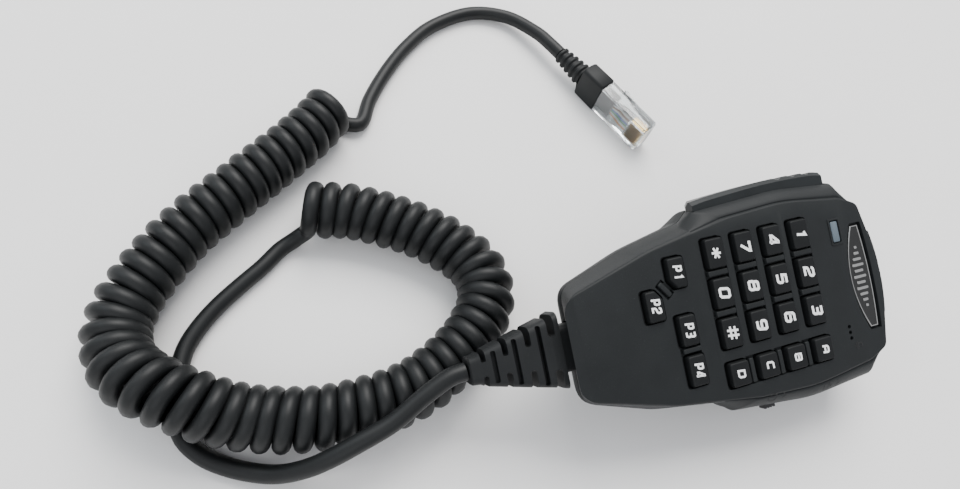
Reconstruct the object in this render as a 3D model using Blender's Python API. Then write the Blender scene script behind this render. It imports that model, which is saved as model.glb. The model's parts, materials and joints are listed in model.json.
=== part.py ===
"""Hand microphone for a mobile radio: keypad, push-to-talk bar, curly cord and modular plug.

The microphone lies on a table. It rests on its hanger button and on its right-hand rear edge,
so its face leans to the right. The shells, keys and everything inside are drawn in the
microphone's own coordinates, in millimetres: X to its right, Y towards its top end and Z out of
its face, with the origin on the face at the middle of the keypad. An empty carries them to the
table. The cord is drawn where it lies on the table, and the plug on an empty of its own.
"""

import math

import bmesh
import bpy
from mathutils import Matrix, Vector

MM = 0.001

# Where things lie on the table (millimetres and degrees).
FACE_CENTRE = (4.63, 9.1, 31.62)
FACE_LEAN = 22.0
BOOT_ENTRY = (-110.62, -5.3, 6.55)
PLUG_HEADING = 23.6

# Case.
PARTING_Z = -9.0
REAR_Z = -25.2
PARTING_GAP = 0.3
WALL = 1.8
END_Y = -60.4
CORD_END_RISE = 8.5
CORD_END_RUN = 46.0
CASE_MIDDLE_Y = -9.6
CASE_HALF_WIDTH = 31.7
CASE_HALF_LENGTH = 53.6

# Right-hand half outlines, from the cord end to the top end: x, y, corner radius, corner steps.
FACE_OUTLINE = (
    (12.8, -63.1, 5.0, 4),
    (20.5, -35.0, 60.0, 2),
    (22.9, -21.0, 20.0, 2),
    (25.2, -8.0, 20.0, 2),
    (26.3, 11.0, 60.0, 2),
    (23.9, 31.0, 8.0, 2),
    (23.3, 34.5, 2.0, 2),
    (22.6, 36.9, 2.5, 3),
    (0.0, 41.8, 80.0, 4),
)
EDGE_OUTLINE = (
    (16.2, -60.4, 5.5, 4),
    (23.0, -38.3, 60.0, 2),
    (26.8, -20.0, 2.5, 2),
    (29.9, -16.5, 2.5, 2),
    (31.7, 12.0, 60.0, 2),
    (30.3, 32.8, 1.2, 2),
    (25.8, 34.6, 2.0, 2),
    (23.9, 38.6, 2.5, 3),
    (0.0, 43.9, 80.0, 4),
)
REAR_OUTLINE = (
    (11.0, -55.5, 4.0, 4),
    (17.0, -38.0, 60.0, 2),
    (19.8, -24.5, 20.0, 2),
    (21.6, -12.0, 20.0, 2),
    (21.9, 8.0, 60.0, 2),
    (21.9, 26.0, 8.0, 2),
    (21.4, 32.0, 3.0, 2),
    (20.0, 36.0, 3.5, 3),
    (0.0, 39.4, 80.0, 4),
)
# Sections of the shells: share of the way from one outline to the next, and the height.
FRONT_PROFILE = ((0.0, 0.0), (0.15, -0.15), (0.3, -0.8), (0.75, -3.4), (0.94, -5.0), (1.0, -9.0))
BACK_PROFILE = ((0.0, 0.0), (0.0, 0.25), (0.12, 0.5), (0.36, 0.76), (0.68, 0.93), (1.0, 1.0))

# Keys.
KEY_TOP_Z = 0.9
KEY_PITCH_X = 11.2
KEY_PITCH_Y = 9.8
DIGIT_SIZE = (8.6, 6.1)
LETTER_SIZE = (7.0, 6.4)
LETTER_X = 17.3
FIRST_COLUMN_X = -16.65
FIRST_ROW_Y = -15.0
PRESET_SIZE = (8.6, 5.4)
PRESET_CHAMFER = 2.6
KEY_GAP = 0.3
KEY_TAPER = 0.25
KEY_FLANGE = 0.6
KEY_BOTTOM_Z = -3.0
KEYPAD = (
    ("key_star", "key_0", "key_hash", "key_d"),
    ("key_7", "key_8", "key_9", "key_c"),
    ("key_4", "key_5", "key_6", "key_b"),
    ("key_1", "key_2", "key_3", "key_a"),
)
PRESETS = (
    ("key_p1", -13.8, -28.2, "right_low"),
    ("key_p2", -6.3, -36.8, "left_high"),
    ("key_p3", 2.1, -28.2, None),
    ("key_p4", 13.2, -27.8, None),
)

# Face details.
LED_AT = (-14.9, 27.5)
LED_SIZE = (6.1, 2.4)
BADGE_X = -0.2
BADGE_HALF_LENGTH = 15.3
BADGE_LOW = (29.8, 3.6)
BADGE_HIGH = (37.0, -0.9)
POCKET_DEPTH = 1.1
MIC_HOLES_X = (13.3, 15.0, 16.7)
MIC_HOLES_Y = 25.3
MIC_HOLE_RADIUS = 0.7

# Controls on the edges.
PTT_PIVOT = (-28.8, -13.5)
PTT_Y = (-16.0, 31.0)
PTT_Z = (-15.2, -4.2)
PTT_OUTER = (
    (-31.9, -16.0), (-32.6, -11.0), (-33.4, -1.0), (-33.95, 8.0), (-34.15, 18.0), (-33.9, 27.0),
    (-33.3, 31.0),
)
TOP_KEY_X = (2.0, 12.8)
TOP_KEY_Z = (-7.6, -3.4)
TOP_KEY_CROWN = (44.9, -0.0085)
SLIDER_Y = {"lamp": -3.6, "lock": 17.8}
SLIDER_Z = (-7.6, -5.0)
SLIDER_LENGTH = 3.6
SLIDER_TRAVEL = 1.5

# Inside.
MAT_Z = (-5.1, -4.1)
BOARD_Z = (-7.1, -5.5)
CASE_SCREWS = ((-10.6, -50.0), (10.6, -50.0), (-17.2, 32.3), (17.2, 32.3))
BOARD_SCREWS = ((-16.5, -22.0), (16.5, -36.5))
HANGER_AT = (0.0, 8.0)
HANGER_Z = -32.2

# Cord.
CORD_RADIUS = 2.3
COIL_RADIUS = 8.7
RELIEF_ROOT = (-0.4, -58.0, -8.0)
RELIEF_TIP = (-0.3, -88.2, -10.5)
COIL_LIFT = 5.6
LIFT_AT = (-15.17, -152.65)
LIFT_REACH = 27.0
# Routes on the table: the lead from the strain relief, the coil's middle line, the plug's lead.
LEAD_ROUTE = (
    (0.43, -79.6, 22.2), (0.93, -84.15, 21.9), (3.73, -91.65, 20.2), (7.53, -100.15, 18.2),
    (9.93, -109.65, 16.3), (11.23, -117.15, 13.2), (11.33, -123.65, 9.0), (9.93, -130.65, 4.6),
    (6.93, -137.65, 2.6), (3.33, -143.65, 2.4), (-0.67, -148.15, 2.4), (-6.27, -151.55, 2.4),
    (-14.37, -152.35, 2.4), (-22.27, -150.55, 2.4), (-28.87, -148.05, 2.4), (-34.07, -144.15, 2.4),
    (-39.27, -138.55, 2.4), (-44.07, -131.85, 2.4), (-48.87, -124.55, 2.4), (-53.27, -118.95, 2.4),
    (-56.87, -115.55, 2.6), (-58.47, -113.15, 3.7), (-57.87, -110.25, 3.8),
)
COIL_ROUTE = (
    (-61.67, -108.65), (-58.97, -97.15), (-54.07, -87.15), (-47.67, -77.15), (-39.67, -68.65),
    (-31.17, -63.45), (-21.67, -64.15), (-12.17, -71.65), (-5.57, -81.75), (-1.37, -91.75),
    (0.13, -102.75), (0.13, -113.95), (-1.67, -124.45), (-5.87, -137.15), (-11.17, -147.15),
    (-17.97, -155.95), (-25.27, -161.35), (-33.77, -162.75), (-40.87, -160.75), (-49.17, -155.05),
    (-61.37, -143.15), (-72.77, -127.05), (-84.67, -109.55), (-91.27, -100.95), (-98.07, -93.85),
)
PLUG_ROUTE = (
    (-93.97, -89.15, 4.4), (-97.67, -85.45, 3.2), (-103.97, -79.85, 2.4), (-115.27, -71.25, 2.4),
    (-125.47, -61.25, 2.4), (-133.97, -49.15, 2.4), (-138.57, -32.75, 2.5), (-134.07, -19.15, 3.6),
    (-123.47, -11.05, 5.6), (-116.67, -7.95, 6.4), (-110.97, -5.45, 6.55),
)

# Plug, in its own coordinates: X along it, Y across its width, Z out of its contact side.
BOOT_NECK = 12.4
BOOT_LENGTH = 22.8
BOOT_SIZE = (13.0, 7.0)
PLUG_LENGTH = 22.0
PLUG_SIZE = (11.7, 6.5)
LATCH_PIVOT = (42.6, -3.9)


def clear_scene():
    """Remove every object that is already in the file."""
    for item in list(bpy.data.objects):
        bpy.data.objects.remove(item)


def finish(name, color, roughness=0.55, metallic=0.0):
    """Return a plain material of one colour."""
    material = bpy.data.materials.new(name)
    material.use_nodes = True
    shader = material.node_tree.nodes["Principled BSDF"]
    shader.inputs["Base Color"].default_value = (*color, 1.0)
    shader.inputs["Roughness"].default_value = roughness
    shader.inputs["Metallic"].default_value = metallic
    return material


def empty(name, place, turn):
    """Return an empty at a place in millimetres, turned by three angles in degrees."""
    holder = bpy.data.objects.new(name, None)
    bpy.context.collection.objects.link(holder)
    holder.location = [value * MM for value in place]
    holder.rotation_euler = [math.radians(value) for value in turn]
    return holder


def add_object(name, mesh, material, parent, origin=(0.0, 0.0, 0.0)):
    """Link an object whose origin is moved to a place in its parent's millimetres."""
    mesh.transform(Matrix.Translation([-value for value in origin]))
    mesh.transform(Matrix.Scale(MM, 4))
    mesh.materials.append(material)
    mesh.shade_smooth()
    mesh.set_sharp_from_angle(angle=math.radians(32.0))
    item = bpy.data.objects.new(name, mesh)
    bpy.context.collection.objects.link(item)
    item.parent = parent
    item.location = [value * MM for value in origin]
    return item


def mesh_from(name, builder):
    """Return a mesh that a function fills, with its faces turned outwards."""
    work = bmesh.new()
    builder(work)
    bmesh.ops.recalc_face_normals(work, faces=work.faces)
    mesh = bpy.data.meshes.new(name)
    work.to_mesh(mesh)
    work.free()
    return mesh


def add_ladder(work, loop):
    """Close a loop that is the same on both sides, with flat faces from side to side."""
    count = len(loop)
    for index in range(count // 2 - 1):
        work.faces.new((loop[index], loop[index + 1], loop[count - 2 - index], loop[count - 1 - index]))
    if count % 2:
        middle = count // 2
        work.faces.new(loop[middle - 1:middle + 2])


def add_loft(work, rings, ladder=False):
    """Add a closed body through rings of points with equal counts."""
    loops = [[work.verts.new(point) for point in ring] for ring in rings]
    for low, high in zip(loops, loops[1:]):
        for index, corner in enumerate(low):
            after = (index + 1) % len(low)
            work.faces.new((corner, low[after], high[after], high[index]))
    for loop in (loops[0], loops[-1]):
        if ladder:
            add_ladder(work, loop)
        else:
            work.faces.new(loop)


def add_box(work, x, y, z):
    """Add a box between three pairs of limits."""
    rings = [[(x[0], y[0], h), (x[1], y[0], h), (x[1], y[1], h), (x[0], y[1], h)] for h in z]
    add_loft(work, rings)


def circle(centre, radius, height, steps=20):
    """Return the points of a level circle."""
    turns = [math.tau * step / steps for step in range(steps)]
    return [(centre[0] + radius * math.cos(a), centre[1] + radius * math.sin(a), height) for a in turns]


def add_post(work, centre, sections, steps=20):
    """Add an upright turned body from pairs of radius and height."""
    add_loft(work, [circle(centre, radius, height, steps) for radius, height in sections])


def add_prism(work, outline, z):
    """Add a body of one outline between two heights."""
    add_loft(work, [[(px, py, height) for px, py in outline] for height in z])


def rounded_corner(before, corner, after, radius, steps):
    """Return points round one corner, as an arc where its sides leave room."""
    inward = (Vector(before) - Vector(corner)).normalized()
    outward = (Vector(after) - Vector(corner)).normalized()
    angle = inward.angle(outward)
    room = 0.45 * min((Vector(before) - Vector(corner)).length, (Vector(after) - Vector(corner)).length)
    setback = min(radius / math.tan(angle / 2), room)
    start = Vector(corner) + inward * setback
    end = Vector(corner) + outward * setback
    points = []
    for step in range(steps + 1):
        share = step / steps
        points.append(start * (1 - share) ** 2 + Vector(corner) * 2 * share * (1 - share) + end * share**2)
    return points


def rounded(corners):
    """Return a closed outline from corners of x, y, radius and steps."""
    points = []
    for index, (px, py, radius, steps) in enumerate(corners):
        before = corners[index - 1][:2]
        after = corners[(index + 1) % len(corners)][:2]
        points += rounded_corner(before, (px, py), after, radius, steps)
    return [(point.x, point.y) for point in points]


def whole(half):
    """Return a closed outline from a right-hand half that ends on the middle line."""
    left = [(-px, py, radius, steps) for px, py, radius, steps in reversed(half[:-1])]
    return rounded(list(half) + left)


def rectangle(centre, size, radius=0.9, steps=2):
    """Return a rectangle with rounded corners."""
    half_x, half_y = size[0] / 2, size[1] / 2
    signs = ((-1, -1), (1, -1), (1, 1), (-1, 1))
    return rounded([(centre[0] + sx * half_x, centre[1] + sy * half_y, radius, steps) for sx, sy in signs])


def mixed(first, second, share):
    """Return an outline part of the way from one outline to another."""
    return [
        (a[0] + (b[0] - a[0]) * share, a[1] + (b[1] - a[1]) * share) for a, b in zip(first, second)
    ]


def shrunk(outline, amount):
    """Return a case outline drawn in by an amount on every side."""
    scale_x = (CASE_HALF_WIDTH - amount) / CASE_HALF_WIDTH
    scale_y = (CASE_HALF_LENGTH - amount) / CASE_HALF_LENGTH
    return [(px * scale_x, CASE_MIDDLE_Y + (py - CASE_MIDDLE_Y) * scale_y) for px, py in outline]


def rear_height(y):
    """Return the height of the back at a place along the case."""
    run = max(0.0, min(1.0, (END_Y + CORD_END_RUN - y) / CORD_END_RUN))
    return REAR_Z + CORD_END_RISE * run


def front_rings(inset, top_drop, bottom):
    """Return the rings of the front shell's outside, or of its hollow when inset."""
    face = shrunk(whole(FACE_OUTLINE), inset)
    edge = shrunk(whole(EDGE_OUTLINE), inset)
    rings = []
    for share, height in FRONT_PROFILE:
        level = max(bottom, height - top_drop) if height > PARTING_Z else bottom
        rings.append([(px, py, level) for px, py in mixed(face, edge, share)])
    return rings


def back_rings(inset, lift, top):
    """Return the rings of the back shell's outside, or of its hollow when inset."""
    edge = shrunk(whole(EDGE_OUTLINE), inset)
    rear = shrunk(whole(REAR_OUTLINE), inset)
    rings = []
    for share, depth in BACK_PROFILE:
        outline = mixed(edge, rear, share)
        rings.append([(px, py, top + (rear_height(py) + lift - top) * depth) for px, py in outline])
    return rings


def helper(name, builder, parent):
    """Return a hidden guide body for a Boolean."""
    item = bpy.data.objects.new(name, mesh_from(name, builder))
    item.data.transform(Matrix.Scale(MM, 4))
    bpy.context.collection.objects.link(item)
    item.parent = parent
    item.hide_render = True
    item.hide_viewport = False
    item.display_type = "WIRE"
    return item


def combine(item, builder, operation, label):
    """Join a helper body to an object, or cut it away."""
    tool = helper(f"{item.name}_{label}", builder, item.parent)
    step = item.modifiers.new(label, "BOOLEAN")
    step.operation = operation
    step.solver = "EXACT"
    step.object = tool


def key_outline(size, centre, chamfer):
    """Return a key's outline, with one corner cut off where it faces its neighbour."""
    cx, cy = centre
    hx, hy = size[0] / 2, size[1] / 2
    cut = PRESET_CHAMFER
    corners = [(cx - hx, cy - hy), (cx + hx, cy - hy), (cx + hx, cy + hy), (cx - hx, cy + hy)]
    if chamfer == "right_low":
        corners[1:2] = [(cx + hx - cut, cy - hy), (cx + hx, cy - hy + 0.75 * cut)]
    if chamfer == "left_high":
        corners[3:4] = [(cx - hx + cut, cy + hy), (cx - hx, cy + hy - 0.75 * cut)]
    return rounded([(px, py, 0.9, 2) for px, py in corners])


def key_places():
    """Return each key's name, middle, size and cut corner."""
    places = []
    for row, names in enumerate(KEYPAD):
        y = FIRST_ROW_Y + row * KEY_PITCH_Y
        for column, name in enumerate(names[:3]):
            places.append((name, (FIRST_COLUMN_X + column * KEY_PITCH_X, y), DIGIT_SIZE, None))
        places.append((names[3], (LETTER_X, y), LETTER_SIZE, None))
    for name, x, y, chamfer in PRESETS:
        places.append((name, (x, y), PRESET_SIZE, chamfer))
    return places


def grown(size, amount):
    """Return a size that is larger by an amount on every side."""
    return (size[0] + 2 * amount, size[1] + 2 * amount)


def badge_outline(below=0.0, above=0.0, longer=0.0, steps=9):
    """Return the nameplate's outline, grown below it, above it and at its ends."""
    shares = [-1 + 2 * step / (steps - 1) for step in range(steps)]
    reach = BADGE_HALF_LENGTH + longer
    low = [(BADGE_X + u * reach, BADGE_LOW[0] - below + BADGE_LOW[1] * u * u) for u in shares]
    high = [(BADGE_X + u * reach, BADGE_HIGH[0] + above + BADGE_HIGH[1] * u * u) for u in shares]
    return low + high[::-1]


def cut_front_shell(work):
    """Add every opening of the front shell."""
    for _, centre, size, chamfer in key_places():
        outline = key_outline(grown(size, KEY_GAP), centre, chamfer)
        add_prism(work, outline, (-3.4, 1.0))
    add_prism(work, rectangle(LED_AT, grown(LED_SIZE, KEY_GAP), 0.6), (-3.4, 1.0))
    add_prism(work, badge_outline(0.3, 1.1, 0.8), (-POCKET_DEPTH, 1.0))
    for x in MIC_HOLES_X:
        add_post(work, (x, MIC_HOLES_Y), ((MIC_HOLE_RADIUS, -3.4), (MIC_HOLE_RADIUS, 1.0)), 10)
    add_box(work, (-36.0, -25.5), (PTT_Y[0] - 0.4, PTT_Y[1] + 0.4), (-12.0, PTT_Z[1] + 0.4))
    for side in (-1, 1):
        x = sorted((side * (TOP_KEY_X[0] - 0.3), side * (TOP_KEY_X[1] + 0.3)))
        add_box(work, x, (37.0, 46.0), (TOP_KEY_Z[0] - 0.3, TOP_KEY_Z[1] + 0.3))
    for middle in SLIDER_Y.values():
        reach = SLIDER_LENGTH / 2 + SLIDER_TRAVEL + 0.3
        add_box(work, (27.0, 34.0), (middle - reach, middle + reach), (SLIDER_Z[0] - 0.3, SLIDER_Z[1] + 0.3))
    add_loft(work, relief_neck_rings(0.3))
    for place in CASE_SCREWS:
        add_post(work, place, ((1.35, -12.0), (1.35, -4.6)), 14)
    for place in BOARD_SCREWS:
        add_post(work, place, ((1.0, -8.0), (1.0, -2.3)), 14)


def front_posts(work):
    """Add the posts that the screws and the pivot pin stand in."""
    for place in CASE_SCREWS:
        add_post(work, place, ((2.2, PARTING_Z + 0.15), (2.2, -1.2)), 18)
    for place in BOARD_SCREWS:
        add_post(work, place, ((2.1, BOARD_Z[1] + 0.3), (2.1, -1.2)), 16)


def make_front_shell(parent, material):
    """Make the front half of the case, open at the back."""
    item = add_object("front_shell", mesh_from("front_shell", outer_front), material, parent)
    combine(item, hollow_front, "DIFFERENCE", "hollow")
    combine(item, front_posts, "UNION", "posts")
    combine(item, cut_front_shell, "DIFFERENCE", "openings")
    return item


def outer_front(work):
    """Add the front shell's outside."""
    add_loft(work, front_rings(0.0, 0.0, PARTING_Z))


def hollow_front(work):
    """Add the front shell's hollow."""
    add_loft(work, front_rings(WALL, WALL, PARTING_Z - 2.0))


def outer_back(work):
    """Add the back shell's outside."""
    add_loft(work, back_rings(0.0, 0.0, PARTING_Z - PARTING_GAP), ladder=True)


def hollow_back(work):
    """Add the back shell's hollow."""
    add_loft(work, back_rings(WALL, WALL, PARTING_Z + 1.5), ladder=True)


def back_posts(work):
    """Add the back shell's screw posts and the seat under the hanger button."""
    for place in CASE_SCREWS:
        floor = rear_height(place[1]) + 1.0
        add_post(work, place, ((3.0, floor), (3.0, PARTING_Z - 0.6)), 18)
    add_post(work, HANGER_AT, ((4.2, REAR_Z + 1.0), (4.2, REAR_Z + 4.6)), 20)


def cut_back_shell(work):
    """Add every opening of the back shell."""
    for place in CASE_SCREWS:
        floor = rear_height(place[1])
        add_post(work, place, ((2.6, floor - 3.0), (2.6, floor + 3.6)), 18)
        add_post(work, place, ((1.35, floor + 3.0), (1.35, PARTING_Z + 1.0)), 14)
    add_post(work, HANGER_AT, ((1.8, REAR_Z - 2.0), (1.8, REAR_Z + 6.0)), 16)
    add_box(work, (-36.0, -25.5), (PTT_Y[0] - 0.4, PTT_Y[1] + 0.4), (PTT_Z[0] - 0.4, -7.0))
    add_loft(work, relief_neck_rings(0.3))


def make_back_shell(parent, material):
    """Make the back half of the case, open at the front."""
    item = add_object("back_shell", mesh_from("back_shell", outer_back), material, parent)
    combine(item, hollow_back, "DIFFERENCE", "hollow")
    combine(item, back_posts, "UNION", "posts")
    combine(item, cut_back_shell, "DIFFERENCE", "openings")
    return item


def make_keys(parent, material):
    """Make the keys, each with its flange under the face."""
    for name, centre, size, chamfer in key_places():
        def body(work, centre=centre, size=size, chamfer=chamfer):
            wide = key_outline(grown(size, KEY_FLANGE), centre, chamfer)
            cap = key_outline(size, centre, chamfer)
            upper = key_outline(grown(size, -KEY_TAPER), centre, chamfer)
            top = key_outline(grown(size, -KEY_TAPER - 0.35), centre, chamfer)
            levels = (
                (wide, KEY_BOTTOM_Z), (wide, KEY_BOTTOM_Z + 0.8), (cap, KEY_BOTTOM_Z + 0.8),
                (cap, 0.0), (upper, KEY_TOP_Z - 0.3), (top, KEY_TOP_Z),
            )
            add_loft(work, [[(px, py, height) for px, py in outline] for outline, height in levels])
        add_object(name, mesh_from(name, body), material, parent, (*centre, 0.0))


def make_face_fittings(parent, black, clear, silver):
    """Make the lamp window, the nameplate and the keypad's rubber mat."""
    def window(work):
        add_loft(work, [
            [(px, py, height) for px, py in rectangle(LED_AT, grown(LED_SIZE, grow), 0.5)]
            for grow, height in ((0.4, -3.0), (0.4, -2.2), (0.0, -2.2), (0.0, 0.15))
        ])
    add_object("led_window", mesh_from("led_window", window), clear, parent)
    def plate(work):
        add_prism(work, badge_outline(), (-POCKET_DEPTH + 0.3, -0.15))
    add_object("nameplate", mesh_from("nameplate", plate), silver, parent)
    def mat(work):
        half = ((13.0, -40.6), (18.8, -32.0), (21.8, -18.0), (21.8, 21.4))
        left = [(-px, py) for px, py in reversed(half)]
        add_prism(work, list(half) + left, MAT_Z)
    def mat_holes(work):
        for place in BOARD_SCREWS:
            add_post(work, place, ((2.6, -8.0), (2.6, -2.0)), 16)
    item = add_object("keypad_mat", mesh_from("keypad_mat", mat), black, parent)
    combine(item, mat_holes, "DIFFERENCE", "holes")


def make_ptt(parent, rubber, steel, black):
    """Make the push-to-talk bar, its pin and its switch."""
    x, y = PTT_PIVOT
    lead = 2.2
    section = PTT_OUTER + (
        (-30.6, PTT_Y[1]), (-30.6, 26.0), (-30.2, 26.0),
        (-30.2, -8.0), (x + lead, -11.0), (x + lead, PTT_Y[0]),
    )
    def bar(work):
        add_loft(work, [
            [(px + inset if px < -31.0 else px, py, height) for px, py in section]
            for inset, height in ((0.6, PTT_Z[0]), (0.0, PTT_Z[0] + 1.4),
                                  (0.0, PTT_Z[1] - 1.0), (0.6, PTT_Z[1]))
        ])
    def bore(work):
        add_post(work, PTT_PIVOT, ((1.1, -18.0), (1.1, -2.0)), 14)
    item = add_object("ptt_bar", mesh_from("ptt_bar", bar), rubber, parent, (*PTT_PIVOT, 0.0))
    combine(item, bore, "DIFFERENCE", "bore")
    def pin(work):
        add_post(work, PTT_PIVOT, ((0.8, PTT_Z[0] - 0.1), (0.8, PTT_Z[1] + 0.1)), 12)
    add_object("ptt_pivot_pin", mesh_from("ptt_pivot_pin", pin), steel, parent)
    def switch(work):
        add_box(work, (-26.6, -22.4), (18.0, 24.0), (-12.0, -7.6))
    add_object("ptt_switch", mesh_from("ptt_switch", switch), black, parent)


def make_top_keys(parent, rubber, black):
    """Make the two keys on the top end and their switches."""
    for name, side in (("up_key", -1), ("down_key", 1)):
        limits = [side * value for value in TOP_KEY_X]
        steps = 5
        xs = [limits[0] + (limits[1] - limits[0]) * step / steps for step in range(steps + 1)]
        outline = [(px, TOP_KEY_CROWN[0] + TOP_KEY_CROWN[1] * px * px) for px in xs]
        outline += [(limits[1], 39.0), (limits[0], 39.0)]
        def cap(work, outline=outline):
            add_prism(work, outline, TOP_KEY_Z)
        middle = (side * sum(TOP_KEY_X) / 2, 42.0, sum(TOP_KEY_Z) / 2)
        add_object(name, mesh_from(name, cap), rubber, parent, middle)
        def switch(work, side=side):
            x = sorted((side * 5.4, side * 9.8))
            add_box(work, x, (34.4, 37.6), (-11.0, -7.4))
        label = name.replace("key", "switch")
        add_object(label, mesh_from(label, switch), black, parent)


def make_sliders(parent, black):
    """Make the lamp and lock sliders and the slide switches behind them."""
    for name, middle in SLIDER_Y.items():
        def knob(work, middle=middle):
            half = SLIDER_LENGTH / 2
            add_box(work, (28.2, 31.8), (middle - half, middle + half), SLIDER_Z)
        origin = (31.0, middle, sum(SLIDER_Z) / 2)
        add_object(f"{name}_slider", mesh_from(f"{name}_slider", knob), black, parent, origin)
        def switch(work, middle=middle):
            add_box(work, (23.4, 27.8), (middle - 4.2, middle + 4.2), (-10.8, -7.2))
        add_object(f"{name}_switch", mesh_from(f"{name}_switch", switch), black, parent)


def board_outline():
    """Return the circuit board's outline, notched round the case posts."""
    half = ((7.6, -52.0), (7.6, -46.0), (17.5, -44.0), (22.6, -6.0), (22.6, 29.2), (14.4, 29.2),
            (14.4, 36.6))
    left = [(-px, py) for px, py in reversed(half)]
    return list(half) + left


def make_electronics(parent, green, metal, black, white):
    """Make the circuit board, the microphone capsule with its boot, the lamp and the header."""
    def board(work):
        add_prism(work, board_outline(), BOARD_Z)
    def board_holes(work):
        for place in BOARD_SCREWS:
            add_post(work, place, ((1.2, -9.0), (1.2, -4.0)), 14)
    item = add_object("circuit_board", mesh_from("circuit_board", board), green, parent)
    combine(item, board_holes, "DIFFERENCE", "holes")
    centre = (MIC_HOLES_X[1], MIC_HOLES_Y)
    def capsule(work):
        add_post(work, centre, ((2.2, -4.9), (2.2, -2.8)), 18)
    add_object("mic_capsule", mesh_from("mic_capsule", capsule), metal, parent)
    def boot(work):
        add_post(work, centre, ((3.2, -5.1), (3.2, -2.3)), 20)
    def boot_hole(work):
        add_post(work, centre, ((2.5, -6.0), (2.5, -1.0)), 20)
    ring = add_object("capsule_boot", mesh_from("capsule_boot", boot), black, parent)
    combine(ring, boot_hole, "DIFFERENCE", "hole")
    def lamp(work):
        add_box(work, (LED_AT[0] - 1.6, LED_AT[0] + 1.6), (26.2, 27.3), (-5.2, -3.6))
    add_object("status_led", mesh_from("status_led", lamp), white, parent)
    def header(work):
        add_box(work, (-7.0, 7.0), (-49.0, -45.5), (-12.6, -7.4))
    add_object("cord_header", mesh_from("cord_header", header), white, parent)


def make_fasteners(parent, steel):
    """Make the case screws, the board screws and the hanger's screw."""
    for index, place in enumerate(CASE_SCREWS, 1):
        floor = rear_height(place[1])
        def screw(work, place=place, floor=floor):
            sections = ((2.2, floor + 1.6), (2.2, floor + 3.1), (1.05, floor + 3.9), (1.05, -5.0))
            add_post(work, place, sections, 14)
        name = f"case_screw_{index}"
        add_object(name, mesh_from(name, screw), steel, parent)
    for index, place in enumerate(BOARD_SCREWS, 1):
        def screw(work, place=place):
            add_post(work, place, ((2.0, -8.9), (2.0, -7.4), (0.7, -7.4), (0.7, -2.6)), 12)
        name = f"board_screw_{index}"
        add_object(name, mesh_from(name, screw), steel, parent)
    def bolt(work):
        sections = ((1.5, HANGER_Z + 2.4), (1.5, REAR_Z + 4.9), (3.2, REAR_Z + 4.9), (3.2, REAR_Z + 6.8))
        add_post(work, HANGER_AT, sections, 16)
    add_object("hanger_screw", mesh_from("hanger_screw", bolt), steel, parent)


def make_hanger(parent, material):
    """Make the hanger button on the back, with a hole for its screw."""
    def button(work):
        sections = (
            (4.6, HANGER_Z), (5.5, HANGER_Z + 0.7), (5.5, HANGER_Z + 1.9), (3.6, HANGER_Z + 3.0),
            (3.6, REAR_Z - 1.6), (5.2, REAR_Z - 0.3),
        )
        add_post(work, HANGER_AT, sections, 28)
    def bore(work):
        add_post(work, HANGER_AT, ((1.8, HANGER_Z + 2.0), (1.8, REAR_Z + 2.0)), 16)
    item = add_object("hanger_button", mesh_from("hanger_button", button), material, parent)
    combine(item, bore, "DIFFERENCE", "bore")


def relief_section(y, half_width, half_height, steps=5):
    """Return one upright rounded-rectangle section across the strain relief."""
    share = max(0.0, (RELIEF_ROOT[1] - y) / (RELIEF_ROOT[1] - RELIEF_TIP[1]))
    middle_x = RELIEF_ROOT[0] + (RELIEF_TIP[0] - RELIEF_ROOT[0]) * share
    middle_z = RELIEF_ROOT[2] + (RELIEF_TIP[2] - RELIEF_ROOT[2]) * share**1.4
    points = []
    for px, pz in rectangle((middle_x, middle_z), (2 * half_width, 2 * half_height), 2.0, steps):
        points.append((px, y, pz))
    return points


def relief_neck_rings(gap):
    """Return the neck that the two shells close on, grown by a gap."""
    return [relief_section(y, 6.4 + gap, 3.4 + gap, 2) for y in (-63.2, -55.0)]


def make_strain_relief(parent, rubber):
    """Make the tapered strain relief with its side notches and its slots."""
    sections = (
        (-54.2, 6.0, 3.4), (-54.6, 8.0, 4.6), (-56.9, 8.0, 4.6), (-57.1, 6.4, 3.4),
        (-63.4, 6.4, 3.4), (-63.4, 10.3, 4.7), (-66.0, 9.4, 4.9), (-72.4, 7.8, 4.6),
        (-78.6, 6.2, 4.3), (-84.5, 4.7, 3.9), (-86.0, 3.9, 3.8), (-87.9, 3.7, 3.6), (-88.2, 3.3, 3.2),
    )
    def body(work):
        add_loft(work, [relief_section(*section) for section in sections])
    def notches(work):
        for y, web, width in ((-65.8, 4.4, 2.0), (-72.4, 3.1, 1.6), (-78.6, 2.2, 1.5), (-84.5, 1.8, 1.3)):
            for side in (-1, 1):
                x = sorted((RELIEF_TIP[0] + side * web, RELIEF_TIP[0] + side * 13.0))
                add_box(work, x, (y - width / 2, y + width / 2), (-18.0, -1.0))
        for y, half, middle in ((-69.2, 7.9, -8.6), (-76.0, 6.0, -9.2), (-81.8, 4.2, -9.7)):
            x = (RELIEF_TIP[0] - half, RELIEF_TIP[0] + half)
            for low, high in ((-18.0, middle - 2.5), (middle + 2.5, -1.0)):
                add_box(work, x, (y - 0.65, y + 0.65), (low, high))
    item = add_object("strain_relief", mesh_from("strain_relief", body), rubber, parent)
    combine(item, notches, "DIFFERENCE", "notches")


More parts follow.
